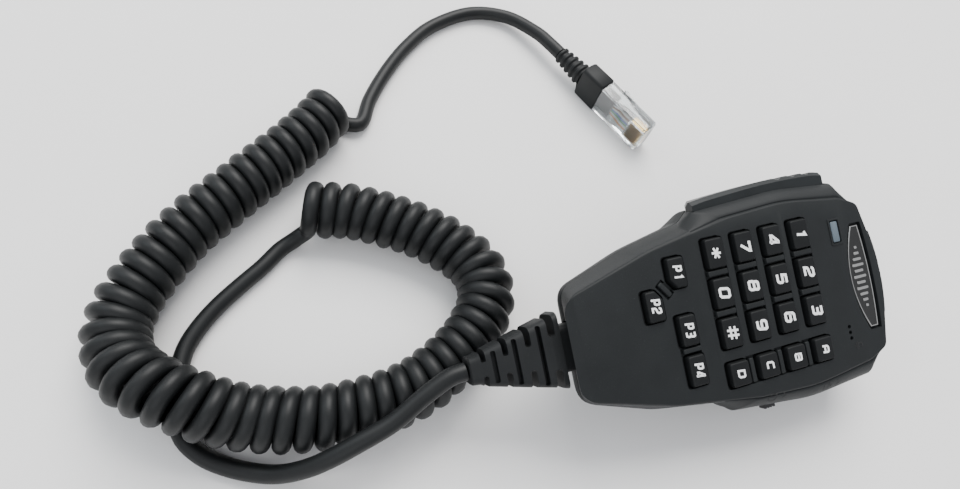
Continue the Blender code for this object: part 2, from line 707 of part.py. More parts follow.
def smooth(route, spacing):
    """Return evenly spaced points on the smooth curve through a route."""
    ends = [Vector(route[0]) * 2 - Vector(route[1])], [Vector(route[-1]) * 2 - Vector(route[-2])]
    knots = ends[0] + [Vector(point) for point in route] + ends[1]
    fine = []
    for p0, p1, p2, p3 in zip(knots, knots[1:], knots[2:], knots[3:]):
        for step in range(16):
            t = step / 16
            fine.append(0.5 * (2 * p1 + (p2 - p0) * t + (2 * p0 - 5 * p1 + 4 * p2 - p3) * t**2
                               + (3 * p1 - p0 - 3 * p2 + p3) * t**3))
    fine.append(knots[-2])
    reach = [0.0]
    for here, after in zip(fine, fine[1:]):
        reach.append(reach[-1] + (after - here).length)
    count = max(2, round(reach[-1] / spacing))
    points = []
    index = 0
    for step in range(count + 1):
        target = reach[-1] * step / count
        while index < len(fine) - 2 and reach[index + 1] < target:
            index += 1
        share = (target - reach[index]) / (reach[index + 1] - reach[index])
        points.append(fine[index].lerp(fine[index + 1], min(1.0, share)))
    return points


def lifted(points):
    """Return the coil's middle line at its height, raised where the lead passes under it."""
    raised = []
    for point in points:
        away = (Vector(point[:2]) - Vector(LIFT_AT)).length / LIFT_REACH
        hump = math.cos(min(1.0, away) * math.pi / 2) ** 2
        raised.append(Vector((point[0], point[1], COIL_RADIUS + COIL_LIFT * hump)))
    return raised


def make_cord(name, points, radius, resolution, material):
    """Make one stretch of the cord as a round tube along points."""
    curve = bpy.data.curves.new(name, "CURVE")
    curve.dimensions = "3D"
    curve.bevel_depth = radius * MM
    curve.bevel_resolution = resolution
    curve.use_fill_caps = True
    spline = curve.splines.new("POLY")
    spline.points.add(len(points) - 1)
    for target, point in zip(spline.points, points):
        target.co = (point[0] * MM, point[1] * MM, point[2] * MM, 1.0)
    curve.materials.append(material)
    item = bpy.data.objects.new(name, curve)
    bpy.context.collection.objects.link(item)
    return item


def across(x, size, corner=1.0):
    """Return one section across the plug at a place along it."""
    return [(x, py, pz) for py, pz in rectangle((0.0, 0.0), size, corner, 2)]


def make_plug(parent, rubber, clear):
    """Make the plug's boot, its clear body and its latch."""
    def boot(work):
        rings = []
        count = 5
        for index in range(count):
            start = BOOT_NECK * index / count
            radius = 2.9 + 0.22 * index
            for x, size in ((start, radius), (start + 1.3, radius), (start + 1.3, radius - 0.6),
                            (start + BOOT_NECK / count, radius - 0.6)):
                rings.append([(x, py, pz) for px, py, pz in upright_circle(size)])
        rings += [
            [(BOOT_NECK, py, pz) for py, pz in squircle((7.6, 6.2))],
            [(BOOT_NECK + 1.2, py, pz) for py, pz in squircle(BOOT_SIZE)],
            [(BOOT_LENGTH, py, pz) for py, pz in squircle(BOOT_SIZE)],
        ]
        add_loft(work, rings)
    add_object("plug_boot", mesh_from("plug_boot", boot), rubber, parent)
    start = BOOT_LENGTH + 0.3
    def body(work):
        add_loft(work, [across(start, PLUG_SIZE, 0.5), across(start + PLUG_LENGTH - 0.8, PLUG_SIZE, 0.5),
                        across(start + PLUG_LENGTH, (10.7, 5.5), 0.5)])
    add_object("plug_body", mesh_from("plug_body", body), clear, parent)
    def latch(work):
        outline = ((LATCH_PIVOT[0] + 0.8, -3.6), (LATCH_PIVOT[0] + 0.8, -4.3), (27.6, -7.4), (27.0, -6.8),
                   (40.0, -3.9))
        add_loft(work, [[(px, y, pz) for px, pz in outline] for y in (-2.9, 2.9)])
    origin = (LATCH_PIVOT[0], 0.0, LATCH_PIVOT[1])
    add_object("plug_latch", mesh_from("plug_latch", latch), clear, parent, origin)


def upright_circle(radius, steps=20):
    """Return a circle across the plug's length."""
    turns = [math.tau * (step + 0.5) / steps for step in range(steps)]
    return [(0.0, radius * math.cos(turn), radius * math.sin(turn)) for turn in turns]


def squircle(size, steps=20):
    """Return a soft rectangle with as many points as the neck's circle."""
    points = []
    for step in range(steps):
        turn = math.tau * (step + 0.5) / steps
        c, s = math.cos(turn), math.sin(turn)
        scale = (abs(c) ** 8 + abs(s) ** 8) ** (-1 / 8)
        points.append((size[0] / 2 * c * scale, size[1] / 2 * s * scale))
    return points


def main():
    """Build the whole microphone."""
    clear_scene()
    charcoal = finish("charcoal_plastic", (0.030, 0.033, 0.036), 0.55)
    rubber = finish("black_rubber", (0.018, 0.019, 0.021), 0.7)
    keys = finish("key_rubber", (0.022, 0.023, 0.026), 0.6)
    black = finish("black_plastic", (0.02, 0.02, 0.02), 0.4)
    clear = finish("clear_plastic", (0.8, 0.85, 0.88), 0.1)
    window = finish("window_plastic", (0.45, 0.52, 0.58), 0.2)
    silver = finish("plate_plastic", (0.05, 0.055, 0.06), 0.4)
    steel = finish("steel", (0.6, 0.6, 0.6), 0.3, 1.0)
    green = finish("board_green", (0.02, 0.12, 0.05), 0.4)
    white = finish("white_plastic", (0.8, 0.8, 0.78), 0.5)
    vinyl = finish("cord_vinyl", (0.018, 0.019, 0.021), 0.5)
    microphone = empty("microphone", FACE_CENTRE, (0.0, FACE_LEAN, 0.0))
    plug = empty("plug", BOOT_ENTRY, (90.0, 0.0, PLUG_HEADING))
    make_front_shell(microphone, charcoal)
    make_back_shell(microphone, charcoal)
    make_keys(microphone, keys)
    make_face_fittings(microphone, keys, window, silver)
    make_ptt(microphone, rubber, steel, black)
    make_top_keys(microphone, rubber, black)
    make_sliders(microphone, black)
    make_electronics(microphone, green, steel, black, white)
    make_fasteners(microphone, steel)
    make_hanger(microphone, black)
    make_strain_relief(microphone, rubber)
    make_cord("cord_lead", smooth(LEAD_ROUTE, 5.0), CORD_RADIUS, 2, vinyl)
    make_cord("cord_coil", lifted(smooth(COIL_ROUTE, 8.0)), COIL_RADIUS, 3, vinyl)
    make_cord("cord_plug_lead", smooth(PLUG_ROUTE, 6.0), CORD_RADIUS, 2, vinyl)
    make_plug(plug, rubber, clear)


main()
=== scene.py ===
"""Hand microphone for a mobile radio: the finished look of every piece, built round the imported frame.

The microphone leans on its hanger button and its low rear edge. Its pieces are drawn in its own
millimetres (X to its right, Y towards its top end, Z out of its face) and then carried to the
table. The plug has millimetres of its own: X along it, Y across its width, Z out of its contact side.
"""

import json
import logging
import math
from dataclasses import dataclass, field
from enum import Enum
from typing import Sequence

import bmesh
import bpy
from mathutils import Matrix, Vector
from mathutils.bvhtree import BVHTree


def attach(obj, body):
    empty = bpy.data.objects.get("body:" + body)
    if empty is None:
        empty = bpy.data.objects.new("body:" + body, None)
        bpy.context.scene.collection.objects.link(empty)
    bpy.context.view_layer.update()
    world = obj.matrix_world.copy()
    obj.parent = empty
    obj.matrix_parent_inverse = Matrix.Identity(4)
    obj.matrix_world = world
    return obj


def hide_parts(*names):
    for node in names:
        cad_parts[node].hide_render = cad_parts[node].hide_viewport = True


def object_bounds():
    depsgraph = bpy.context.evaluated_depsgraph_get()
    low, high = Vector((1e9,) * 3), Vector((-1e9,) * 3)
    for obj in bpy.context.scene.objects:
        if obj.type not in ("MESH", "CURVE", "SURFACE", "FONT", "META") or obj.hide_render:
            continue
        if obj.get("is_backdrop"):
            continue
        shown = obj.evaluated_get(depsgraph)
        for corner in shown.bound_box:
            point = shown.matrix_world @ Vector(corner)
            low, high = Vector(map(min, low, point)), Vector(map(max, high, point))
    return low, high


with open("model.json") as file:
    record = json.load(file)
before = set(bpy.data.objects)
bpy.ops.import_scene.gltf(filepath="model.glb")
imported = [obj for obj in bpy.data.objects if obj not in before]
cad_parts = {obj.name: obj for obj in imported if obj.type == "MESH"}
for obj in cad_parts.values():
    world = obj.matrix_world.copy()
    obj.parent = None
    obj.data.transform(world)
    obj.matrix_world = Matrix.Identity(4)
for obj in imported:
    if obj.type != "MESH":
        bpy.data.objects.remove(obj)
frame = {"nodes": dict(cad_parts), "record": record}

LOG = logging.getLogger("hand_microphone")
MM = 0.001
CASE = "microphone_case"
CASE_PLACE = (
    Matrix.Translation(Vector((4.63, 9.1, 31.62)) * MM)
    @ Matrix.Rotation(math.radians(22.0), 4, "Y")
    @ Matrix.Scale(MM, 4)
)
BOOT_ENTRY = (-110.62, -5.3, 6.55)
PLUG_PLACE = (
    Matrix.Translation(Vector(BOOT_ENTRY) * MM)
    @ Matrix.Rotation(math.radians(23.6), 4, "Z")
    @ Matrix.Rotation(math.radians(90.0), 4, "X")
    @ Matrix.Scale(MM, 4)
)

Point2 = tuple[float, float]
Corner = tuple[float, float, float]
Outline = list[Point2]
Ring = list[tuple[float, float, float]]


# --- Shader maths -------------------------------------------------------------------------------


class Shade:
    """One output of a shader node, on which sums can be written as Python expressions."""

    def __init__(self, book: "ShaderBook", socket: bpy.types.NodeSocket) -> None:
        """Keep the socket and the material that it belongs to.

        Args:
            book: The material's node writer.
            socket: The output socket.
        """
        self.book = book
        self.socket = socket

    def _sum(self, operation: str, first: "Number", second: "Number") -> "Shade":
        """Add one Math node.

        Args:
            operation: The Math node's operation.
            first: The left-hand value.
            second: The right-hand value.

        Returns:
            The node's output.
        """
        return self.book.add("ShaderNodeMath", {"operation": operation}, {0: first, 1: second})

    def __add__(self, other: "Number") -> "Shade":
        """Return the sum."""
        return self._sum("ADD", self, other)

    def __radd__(self, other: "Number") -> "Shade":
        """Return the sum, with the number first."""
        return self._sum("ADD", other, self)

    def __sub__(self, other: "Number") -> "Shade":
        """Return the difference."""
        return self._sum("SUBTRACT", self, other)

    def __rsub__(self, other: "Number") -> "Shade":
        """Return the difference, with the number first."""
        return self._sum("SUBTRACT", other, self)

    def __mul__(self, other: "Number") -> "Shade":
        """Return the product."""
        return self._sum("MULTIPLY", self, other)

    def __rmul__(self, other: "Number") -> "Shade":
        """Return the product, with the number first."""
        return self._sum("MULTIPLY", other, self)


Number = Shade | float


class ShaderBook:
    """Writes the nodes of one material."""

    def __init__(self, name: str) -> None:
        """Start a material with a bare Principled shader.

        Args:
            name: The material's name.
        """
        self.material = bpy.data.materials.new(name)
        self.material.use_nodes = True
        self.tree = self.material.node_tree
        self.shader = self.tree.nodes["Principled BSDF"]
        self.place = self.add("ShaderNodeTexCoord", {}, {}, "Object")

    def add(
        self,
        kind: str,
        settings: dict[str, object],
        inputs: dict[object, object],
        output: object = 0,
    ) -> Shade:
        """Add a node, with its settings first and its sockets after them.

        Args:
            kind: The node's type.
            settings: The node's properties; "stops" sets a ramp's positions and colours.
            inputs: Values or links, by socket name or number.
            output: The name or number of the output wanted.

        Returns:
            The chosen output.
        """
        node = self.tree.nodes.new(kind)
        for label, value in settings.items():
            if label == "stops":
                self._set_stops(node, value)
            else:
                setattr(node, label, value)
        for label, value in inputs.items():
            if isinstance(value, Shade):
                self.tree.links.new(value.socket, node.inputs[label])
            else:
                node.inputs[label].default_value = value
        return Shade(self, node.outputs[output])

    def _set_stops(self, node: bpy.types.Node, stops: Sequence[tuple[float, float]]) -> None:
        """Give a ramp its grey stops.

        Args:
            node: The ramp.
            stops: Positions and grey levels.
        """
        elements = node.color_ramp.elements
        while len(elements) < len(stops):
            elements.new(0.5)
        for element, (position, grey) in zip(elements, stops):
            element.position = position
            element.color = (grey, grey, grey, 1.0)

    def noise(self, size_mm: float, detail: float = 3.0, roughness: float = 0.55) -> Shade:
        """Return a cloudy value with lumps of about a size.

        Args:
            size_mm: The size of the lumps in millimetres.
            detail: How many finer layers are added.
            roughness: How strong the finer layers are.

        Returns:
            The value, about a half on average.
        """
        scale = 1.0 / (size_mm * MM)
        inputs = {"Vector": self.place, "Scale": scale, "Detail": detail, "Roughness": roughness}
        return self.add("ShaderNodeTexNoise", {}, inputs, "Fac")

    def steps(self, value: Shade, stops: Sequence[tuple[float, float]]) -> Shade:
        """Return a value passed through a grey ramp.

        Args:
            value: The value to reshape.
            stops: Positions and grey levels.

        Returns:
            The reshaped value.
        """
        return self.add("ShaderNodeValToRGB", {"stops": stops}, {"Fac": value}, "Color")

    def mix(self, share: Number, first: object, second: object) -> Shade:
        """Return a colour between two colours.

        Args:
            share: How much of the second colour there is.
            first: The first colour, as a link or three numbers.
            second: The second colour, as a link or three numbers.

        Returns:
            The mixed colour.
        """
        colours = [value if isinstance(value, Shade) else (*value, 1.0) for value in (first, second)]
        inputs = {0: share, 6: colours[0], 7: colours[1]}
        return self.add("ShaderNodeMix", {"data_type": "RGBA"}, inputs, 2)

    def bump(self, height: Shade, depth_mm: float, strength: float = 1.0) -> Shade:
        """Return a surface direction that a height pattern disturbs.

        Args:
            height: The height pattern, from nought to one.
            depth_mm: The pattern's full depth in millimetres.
            strength: How much of it shows.

        Returns:
            The disturbed direction.
        """
        inputs = {"Height": height, "Distance": depth_mm * MM, "Strength": strength}
        return self.add("ShaderNodeBump", {}, inputs, "Normal")

    def feed(self, **sockets: object) -> None:
        """Set or link the shader's own sockets.

        Args:
            **sockets: Values or links, by socket name with underscores for spaces.
        """
        for label, value in sockets.items():
            target = self.shader.inputs[label.replace("_", " ")]
            if isinstance(value, Shade):
                self.tree.links.new(value.socket, target)
            else:
                target.default_value = value


# --- Finishes -----------------------------------------------------------------------------------

Colour = tuple[float, float, float]


@dataclass(frozen=True)
class Moulded:
    """Moulded plastic or rubber with a fine texture, faint clouds of tone and a little dust."""

    name: str
    dark: Colour
    light: Colour
    roughness: float
    grain_mm: float = 0.16
    grain_depth_mm: float = 0.02
    dust: float = 0.0
    specular: float = 0.5

    def material(self) -> bpy.types.Material:
        """Return the finish as a material."""
        book = ShaderBook(self.name)
        grain = book.noise(self.grain_mm, 2.0, 0.6)
        clouds = book.noise(9.0, 4.0)
        speckle = book.noise(0.35, 1.0)
        tone = book.steps(clouds * 0.45 + grain * 0.55, ((0.3, 0.0), (0.7, 1.0)))
        colour = book.mix(tone, self.dark, self.light)
        if self.dust > 0.0:
            flecks = book.steps(speckle, ((0.70, 0.0), (0.78, 1.0)))
            colour = book.mix(flecks * self.dust, colour, (0.32, 0.33, 0.34))
        rough = self.roughness + (clouds - 0.5) * 0.14 + (grain - 0.5) * 0.1
        normal = book.bump(grain, self.grain_depth_mm, 0.9)
        book.feed(Base_Color=colour, Roughness=rough, Normal=normal, Specular_IOR_Level=self.specular)
        return book.material


@dataclass(frozen=True)
class Metal:
    """Plated or brushed metal."""

    name: str
    dark: Colour
    light: Colour
    roughness: float
    scratch_mm: float = 0.4

    def material(self) -> bpy.types.Material:
        """Return the finish as a material."""
        book = ShaderBook(self.name)
        stretched = book.add("ShaderNodeMapping", {}, {"Vector": book.place, "Scale": (1.0, 12.0, 1.0)})
        inputs = {"Vector": stretched, "Scale": 1.0 / (self.scratch_mm * MM), "Detail": 3.0}
        scratches = book.add("ShaderNodeTexNoise", {}, inputs, "Fac")
        colour = book.mix(scratches, self.dark, self.light)
        rough = self.roughness + (scratches - 0.5) * 0.2
        normal = book.bump(scratches, 0.004, 0.6)
        book.feed(Base_Color=colour, Roughness=rough, Metallic=1.0, Normal=normal)
        return book.material


@dataclass(frozen=True)
class Ink:
    """A printed or plain colour, a little uneven at its own scale; the moulded signs use it as painted shade.
    """

    name: str
    colour: Colour
    worn: Colour
    roughness: float

    def material(self) -> bpy.types.Material:
        """Return the finish as a material."""
        book = ShaderBook(self.name)
        uneven = book.noise(0.5, 3.0)
        colour = book.mix(book.steps(uneven, ((0.35, 0.0), (0.6, 1.0))), self.worn, self.colour)
        normal = book.bump(uneven, 0.01, 0.5)
        book.feed(Base_Color=colour, Roughness=self.roughness + (uneven - 0.5) * 0.1, Normal=normal)
        return book.material


@dataclass(frozen=True)
class Clear:
    """Clear or smoked plastic with faint moulding flow in it."""

    name: str
    tint: Colour
    roughness: float
    transmission: float
    ior: float = 1.56

    def material(self) -> bpy.types.Material:
        """Return the finish as a material."""
        book = ShaderBook(self.name)
        flow = book.noise(2.2, 2.0)
        colour = book.mix(flow, self.tint, tuple(min(1.0, value * 1.06) for value in self.tint))
        normal = book.bump(flow, 0.03, 0.4)
        book.feed(Base_Color=colour, Roughness=self.roughness + (flow - 0.5) * 0.04, Normal=normal)
        book.feed(Transmission_Weight=self.transmission, IOR=self.ior)
        return book.material


@dataclass(frozen=True)
class Tabletop:
    """A pale matt tabletop."""

    name: str = "pale_tabletop"

    def material(self) -> bpy.types.Material:
        """Return the finish as a material."""
        book = ShaderBook(self.name)
        clouds = book.noise(60.0, 5.0)
        colour = book.mix(clouds, (0.87, 0.86, 0.845), (0.91, 0.90, 0.89))
        book.feed(Base_Color=colour, Roughness=0.85, Normal=book.bump(book.noise(1.2, 3.0), 0.03, 0.4))
        return book.material


class Finish(Enum):
    """Every finish on the microphone."""

    SHELL = Moulded("grained_charcoal", (0.0078, 0.0090, 0.0096), (0.0125, 0.0144, 0.0152), 0.56,
                    0.22, 0.045, 0.04, 0.24)
    KEY = Moulded("smooth_key_rubber", (0.0042, 0.0048, 0.0052), (0.0085, 0.0094, 0.0100), 0.55,
                  0.12, 0.010, 0.015, 0.20)
    RUBBER = Moulded("soft_black_rubber", (0.0055, 0.0062, 0.0066), (0.0115, 0.0128, 0.0135), 0.54,
                     0.15, 0.015, 0.03, 0.24)
    BAR = Moulded("push_bar_plastic", (0.0075, 0.0092, 0.0098), (0.0140, 0.0165, 0.0174), 0.42,
                  0.18, 0.020, 0.03, 0.26)
    VINYL = Moulded("satin_vinyl", (0.0045, 0.0052, 0.0055), (0.0085, 0.0096, 0.0100), 0.47,
                    0.30, 0.010, 0.015, 0.28)
    BLACK = Moulded("smooth_black_plastic", (0.004, 0.004, 0.005), (0.009, 0.009, 0.010), 0.38)
    # Painted shade: the moulded signs are the shell's own plastic, and this darker colour stands in for how
    # they look under the light.
    DARK = Ink("signs_painted_shade", (0.0035, 0.0035, 0.0040), (0.006, 0.006, 0.007), 0.7)
    LEGEND = Ink("legend_white", (0.96, 0.96, 0.95), (0.84, 0.84, 0.83), 0.45)
    PLATE = Moulded("nameplate_enamel", (0.006, 0.006, 0.006), (0.012, 0.012, 0.011), 0.24, 0.5, 0.004)
    RIM = Metal("nameplate_silver", (0.36, 0.36, 0.35), (0.56, 0.55, 0.53), 0.30)
    GOLD = Metal("contact_gold", (0.72, 0.46, 0.16), (0.95, 0.70, 0.32), 0.20, 0.2)
    STEEL = Metal("zinc_steel", (0.42, 0.43, 0.45), (0.62, 0.63, 0.65), 0.32)
    CRYSTAL = Clear("clear_polycarbonate", (0.90, 0.93, 0.94), 0.06, 0.96)
    WINDOW = Clear("smoked_window", (0.10, 0.13, 0.155), 0.42, 0.15, 1.49)
    BOARD = Moulded("green_solder_resist", (0.010, 0.060, 0.022), (0.016, 0.100, 0.038), 0.34)
    WHITE = Moulded("milky_nylon", (0.62, 0.62, 0.60), (0.74, 0.74, 0.71), 0.45)
    WIRE_A = Ink("wire_orange", (0.75, 0.30, 0.08), (0.60, 0.22, 0.06), 0.4)
    WIRE_B = Ink("wire_blue", (0.06, 0.16, 0.50), (0.05, 0.12, 0.40), 0.4)
    WIRE_C = Ink("wire_green", (0.06, 0.36, 0.14), (0.05, 0.28, 0.11), 0.4)
    WIRE_D = Ink("wire_brown", (0.24, 0.10, 0.05), (0.18, 0.08, 0.04), 0.4)
    TABLE = Tabletop()

    def coat(self) -> bpy.types.Material:
        """Return this finish's one shared material."""
        found = bpy.data.materials.get(self.value.name)
        return found if found else self.value.material()


# --- Shapes -------------------------------------------------------------------------------------


def smooth_line(points: Sequence[Sequence[float]], steps: int) -> list[Vector]:
    """Return points on the smooth curve that passes through some points.

    Args:
        points: The points to pass through, of any one dimension.
        steps: How many points each stretch gets.

    Returns:
        The curve's points, with both ends.
    """
    knots = [Vector(point) for point in points]
    knots = [knots[0] * 2 - knots[1], *knots, knots[-1] * 2 - knots[-2]]
    line = []
    for p0, p1, p2, p3 in zip(knots, knots[1:], knots[2:], knots[3:]):
        for step in range(steps):
            t = step / steps
            line.append(
                0.5 * (2 * p1 + (p2 - p0) * t + (2 * p0 - 5 * p1 + 4 * p2 - p3) * t**2
                       + (3 * p1 - p0 - 3 * p2 + p3) * t**3)
            )
    return [*line, knots[-2]]


def even_line(line: Sequence[Vector], spacing: float) -> list[Vector]:
    """Return a line's points again, evenly spaced.

    Args:
        line: The points.
        spacing: The wanted distance from point to point.

    Returns:
        Evenly spaced points with the same ends.
    """
    reach = [0.0]
    for here, after in zip(line, line[1:]):
        reach.append(reach[-1] + (after - here).length)
    count = max(2, round(reach[-1] / spacing))
    points = []
    index = 0
    for step in range(count + 1):
        target = reach[-1] * step / count
        while index < len(line) - 2 and reach[index + 1] < target:
            index += 1
        share = (target - reach[index]) / (reach[index + 1] - reach[index])
        points.append(line[index].lerp(line[index + 1], min(1.0, share)))
    return points


def rounded(corners: Sequence[Corner], steps: int = 5) -> Outline:
    """Return a closed outline with rounded corners.

    Args:
        corners: Each corner's x, y and radius.
        steps: How many stretches each rounding gets.

    Returns:
        The outline's points.
    """
    outline = []
    for index, (px, py, radius) in enumerate(corners):
        corner = Vector((px, py))
        before = Vector(corners[index - 1][:2]) - corner
        after = Vector(corners[(index + 1) % len(corners)][:2]) - corner
        room = 0.45 * min(before.length, after.length)
        setback = min(radius / math.tan(before.angle(after) / 2), room)
        start = corner + before.normalized() * setback
        end = corner + after.normalized() * setback
        for step in range(steps + 1):
            t = step / steps
            point = start * (1 - t) ** 2 + corner * 2 * t * (1 - t) + end * t**2
            outline.append((point.x, point.y))
    return outline


def rectangle(centre: Point2, size: Point2, radius: float, steps: int = 5) -> Outline:
    """Return a rectangle with rounded corners.

    Args:
        centre: Its middle.
        size: Its two sides.
        radius: The corners' radius.
        steps: How many stretches each rounding gets.

    Returns:
        The outline's points.
    """
    signs = ((-1, -1), (1, -1), (1, 1), (-1, 1))
    half = (size[0] / 2, size[1] / 2)
    return rounded([(centre[0] + sx * half[0], centre[1] + sy * half[1], radius) for sx, sy in signs], steps)


def circle(centre: Point2, radius: float, steps: int = 32) -> Outline:
    """Return a circle.

    Args:
        centre: Its middle.
        radius: Its radius.
        steps: How many sides it gets.

    Returns:
        The outline's points.
    """
    turns = [math.tau * (step + 0.5) / steps for step in range(steps)]
    return [(centre[0] + radius * math.cos(a), centre[1] + radius * math.sin(a)) for a in turns]


def level(outline: Outline, height: float) -> Ring:
    """Return an outline as a ring at one height."""
    return [(px, py, height) for px, py in outline]


def grown(size: Point2, amount: float) -> Point2:
    """Return a size that is larger by an amount on every side."""
    return (size[0] + 2 * amount, size[1] + 2 * amount)


class Form:
    """A closed body, or several, drawn ring by ring in millimetres."""

    def __init__(self) -> None:
        """Start with nothing."""
        self.work = bmesh.new()

    def loft(self, rings: Sequence[Ring], hooped: bool = False, ladder: bool = False) -> "Form":
        """Add a body through rings of equal counts.

        Args:
            rings: The rings, in order.
            hooped: Whether the last ring joins the first, which leaves no ends.
            ladder: Whether the ends are closed from side to side in narrow strips.

        Returns:
            This form.
        """
        loops = [[self.work.verts.new(point) for point in ring] for ring in rings]
        pairs = list(zip(loops, loops[1:]))
        if hooped:
            pairs.append((loops[-1], loops[0]))
        for low, high in pairs:
            for index, corner in enumerate(low):
                after = (index + 1) % len(low)
                self.work.faces.new((corner, low[after], high[after], high[index]))
        if not hooped:
            for loop in (loops[0], loops[-1]):
                if ladder:
                    self._close_in_strips(loop)
                else:
                    self.work.faces.new(loop)
        return self

    def _close_in_strips(self, loop: list[bmesh.types.BMVert]) -> None:
        """Close a loop that is the same on both sides.

        Args:
            loop: The loop's corners, an odd count with one on the middle line.
        """
        count = len(loop)
        for index in range(count // 2 - 1):
            across = (loop[count - 2 - index], loop[count - 1 - index])
            self.work.faces.new((loop[index], loop[index + 1], *across))
        middle = count // 2
        self.work.faces.new(loop[middle - 1:middle + 2])

    def prism(self, outline: Outline, low: float, high: float) -> "Form":
        """Add a body of one outline between two heights."""
        return self.loft([level(outline, low), level(outline, high)])

    def turned(self, centre: Point2, sections: Sequence[Point2], steps: int = 32) -> "Form":
        """Add an upright turned body.

        Args:
            centre: The axis.
            sections: Pairs of radius and height.
            steps: How many sides it gets.

        Returns:
            This form.
        """
        return self.loft([level(circle(centre, radius, steps), height) for radius, height in sections])

    def block(self, x: Point2, y: Point2, z: Point2) -> "Form":
        """Add a box between three pairs of limits."""
        return self.prism([(x[0], y[0]), (x[1], y[0]), (x[1], y[1]), (x[0], y[1])], *z)

    def mesh(self, name: str) -> bpy.types.Mesh:
        """Return the form as a mesh with its faces turned outwards.

        Args:
            name: The mesh's name.

        Returns:
            The mesh.
        """
        bmesh.ops.recalc_face_normals(self.work, faces=self.work.faces)
        mesh = bpy.data.meshes.new(name)
        self.work.to_mesh(mesh)
        self.work.free()
        return mesh


@dataclass
class Piece:
    """One separate piece: its shape, how its edges are softened, its finish and its body."""

    name: str
    form: Form
    finish: Finish
    body: str = CASE
    place: Matrix = field(default_factory=lambda: CASE_PLACE)
    joined: Form | None = None
    cuts: Sequence[Form] = ()
    edge: float = 0.0
    edge_angle: float = 32.0
    smooth_angle: float = 38.0
    replaces: Sequence[str] = ()

    def make(self) -> bpy.types.Object:
        """Build the piece, dress it and let it ride its body.

        Returns:
            The finished object.
        """
        item = self._stand(self.form, self.name)
        item.data.shade_smooth()
        helpers = []
        if self.joined is not None:
            helpers.append(self._combine(item, self.joined, "UNION"))
        helpers += [self._combine(item, cut, "DIFFERENCE") for cut in self.cuts]
        if self.edge > 0.0:
            self._soften(item)
        mesh = bpy.data.meshes.new_from_object(item.evaluated_get(bpy.context.evaluated_depsgraph_get()))
        item.modifiers.clear()
        item.data = mesh
        mesh.name = self.name
        for helper in helpers:
            bpy.data.objects.remove(helper)
        mesh.transform(self.place)
        if self.edge == 0.0:
            mesh.shade_smooth()
            mesh.set_sharp_from_angle(angle=math.radians(self.smooth_angle))
        mesh.materials.clear()
        mesh.materials.append(self.finish.coat())
        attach(item, self.body)
        if self.replaces:
            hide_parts(*self.replaces)
        LOG.info("%s: %d faces", self.name, len(mesh.polygons))
        return item

    def _stand(self, form: Form, name: str) -> bpy.types.Object:
        """Return a form as an object in the scene."""
        item = bpy.data.objects.new(name, form.mesh(name))
        bpy.context.collection.objects.link(item)
        return item

    def _combine(self, item: bpy.types.Object, form: Form, operation: str) -> bpy.types.Object:
        """Join another form to an object, or cut it away.

        Args:
            item: The object to change.
            form: The other form.
            operation: UNION or DIFFERENCE.

        Returns:
            The helper object, to be removed once the result is kept.
        """
        helper = self._stand(form, f"{self.name}_helper")
        helper.data.shade_smooth()
        step = item.modifiers.new("combine", "BOOLEAN")
        step.operation = operation
        step.solver = "EXACT"
        step.object = helper
        return helper

    def _soften(self, item: bpy.types.Object) -> None:
        """Round off the sharp edges of an object."""
        step = item.modifiers.new("soften", "BEVEL")
        step.width = self.edge
        step.segments = 2
        step.limit_method = "ANGLE"
        step.angle_limit = math.radians(self.edge_angle)
        step.harden_normals = True
        step.use_clamp_overlap = True


def tube(line: Sequence[Vector], radius: float, sides: int = 16) -> Form:
    """Return a round tube along a line.

    Args:
        line: The middle line's points.
        radius: The tube's radius.
        sides: How many sides it gets.

    Returns:
        The tube, closed at both ends.
    """
    rings = []
    side = Vector((0.0, 0.0, 1.0))
    for index, point in enumerate(line):
        ahead = (line[min(index + 1, len(line) - 1)] - line[max(index - 1, 0)]).normalized()
        side = side - ahead * side.dot(ahead)
        if side.length < 1e-4:
            side = ahead.orthogonal()
        side.normalize()
        other = ahead.cross(side)
        ring = []
        for step in range(sides):
            turn = math.tau * step / sides
            ring.append(tuple(point + side * (radius * math.cos(turn)) + other * (radius * math.sin(turn))))
        rings.append(ring)
    return Form().loft(rings)


# --- Legends ------------------------------------------------------------------------------------

Stroke = tuple[Point2, ...]

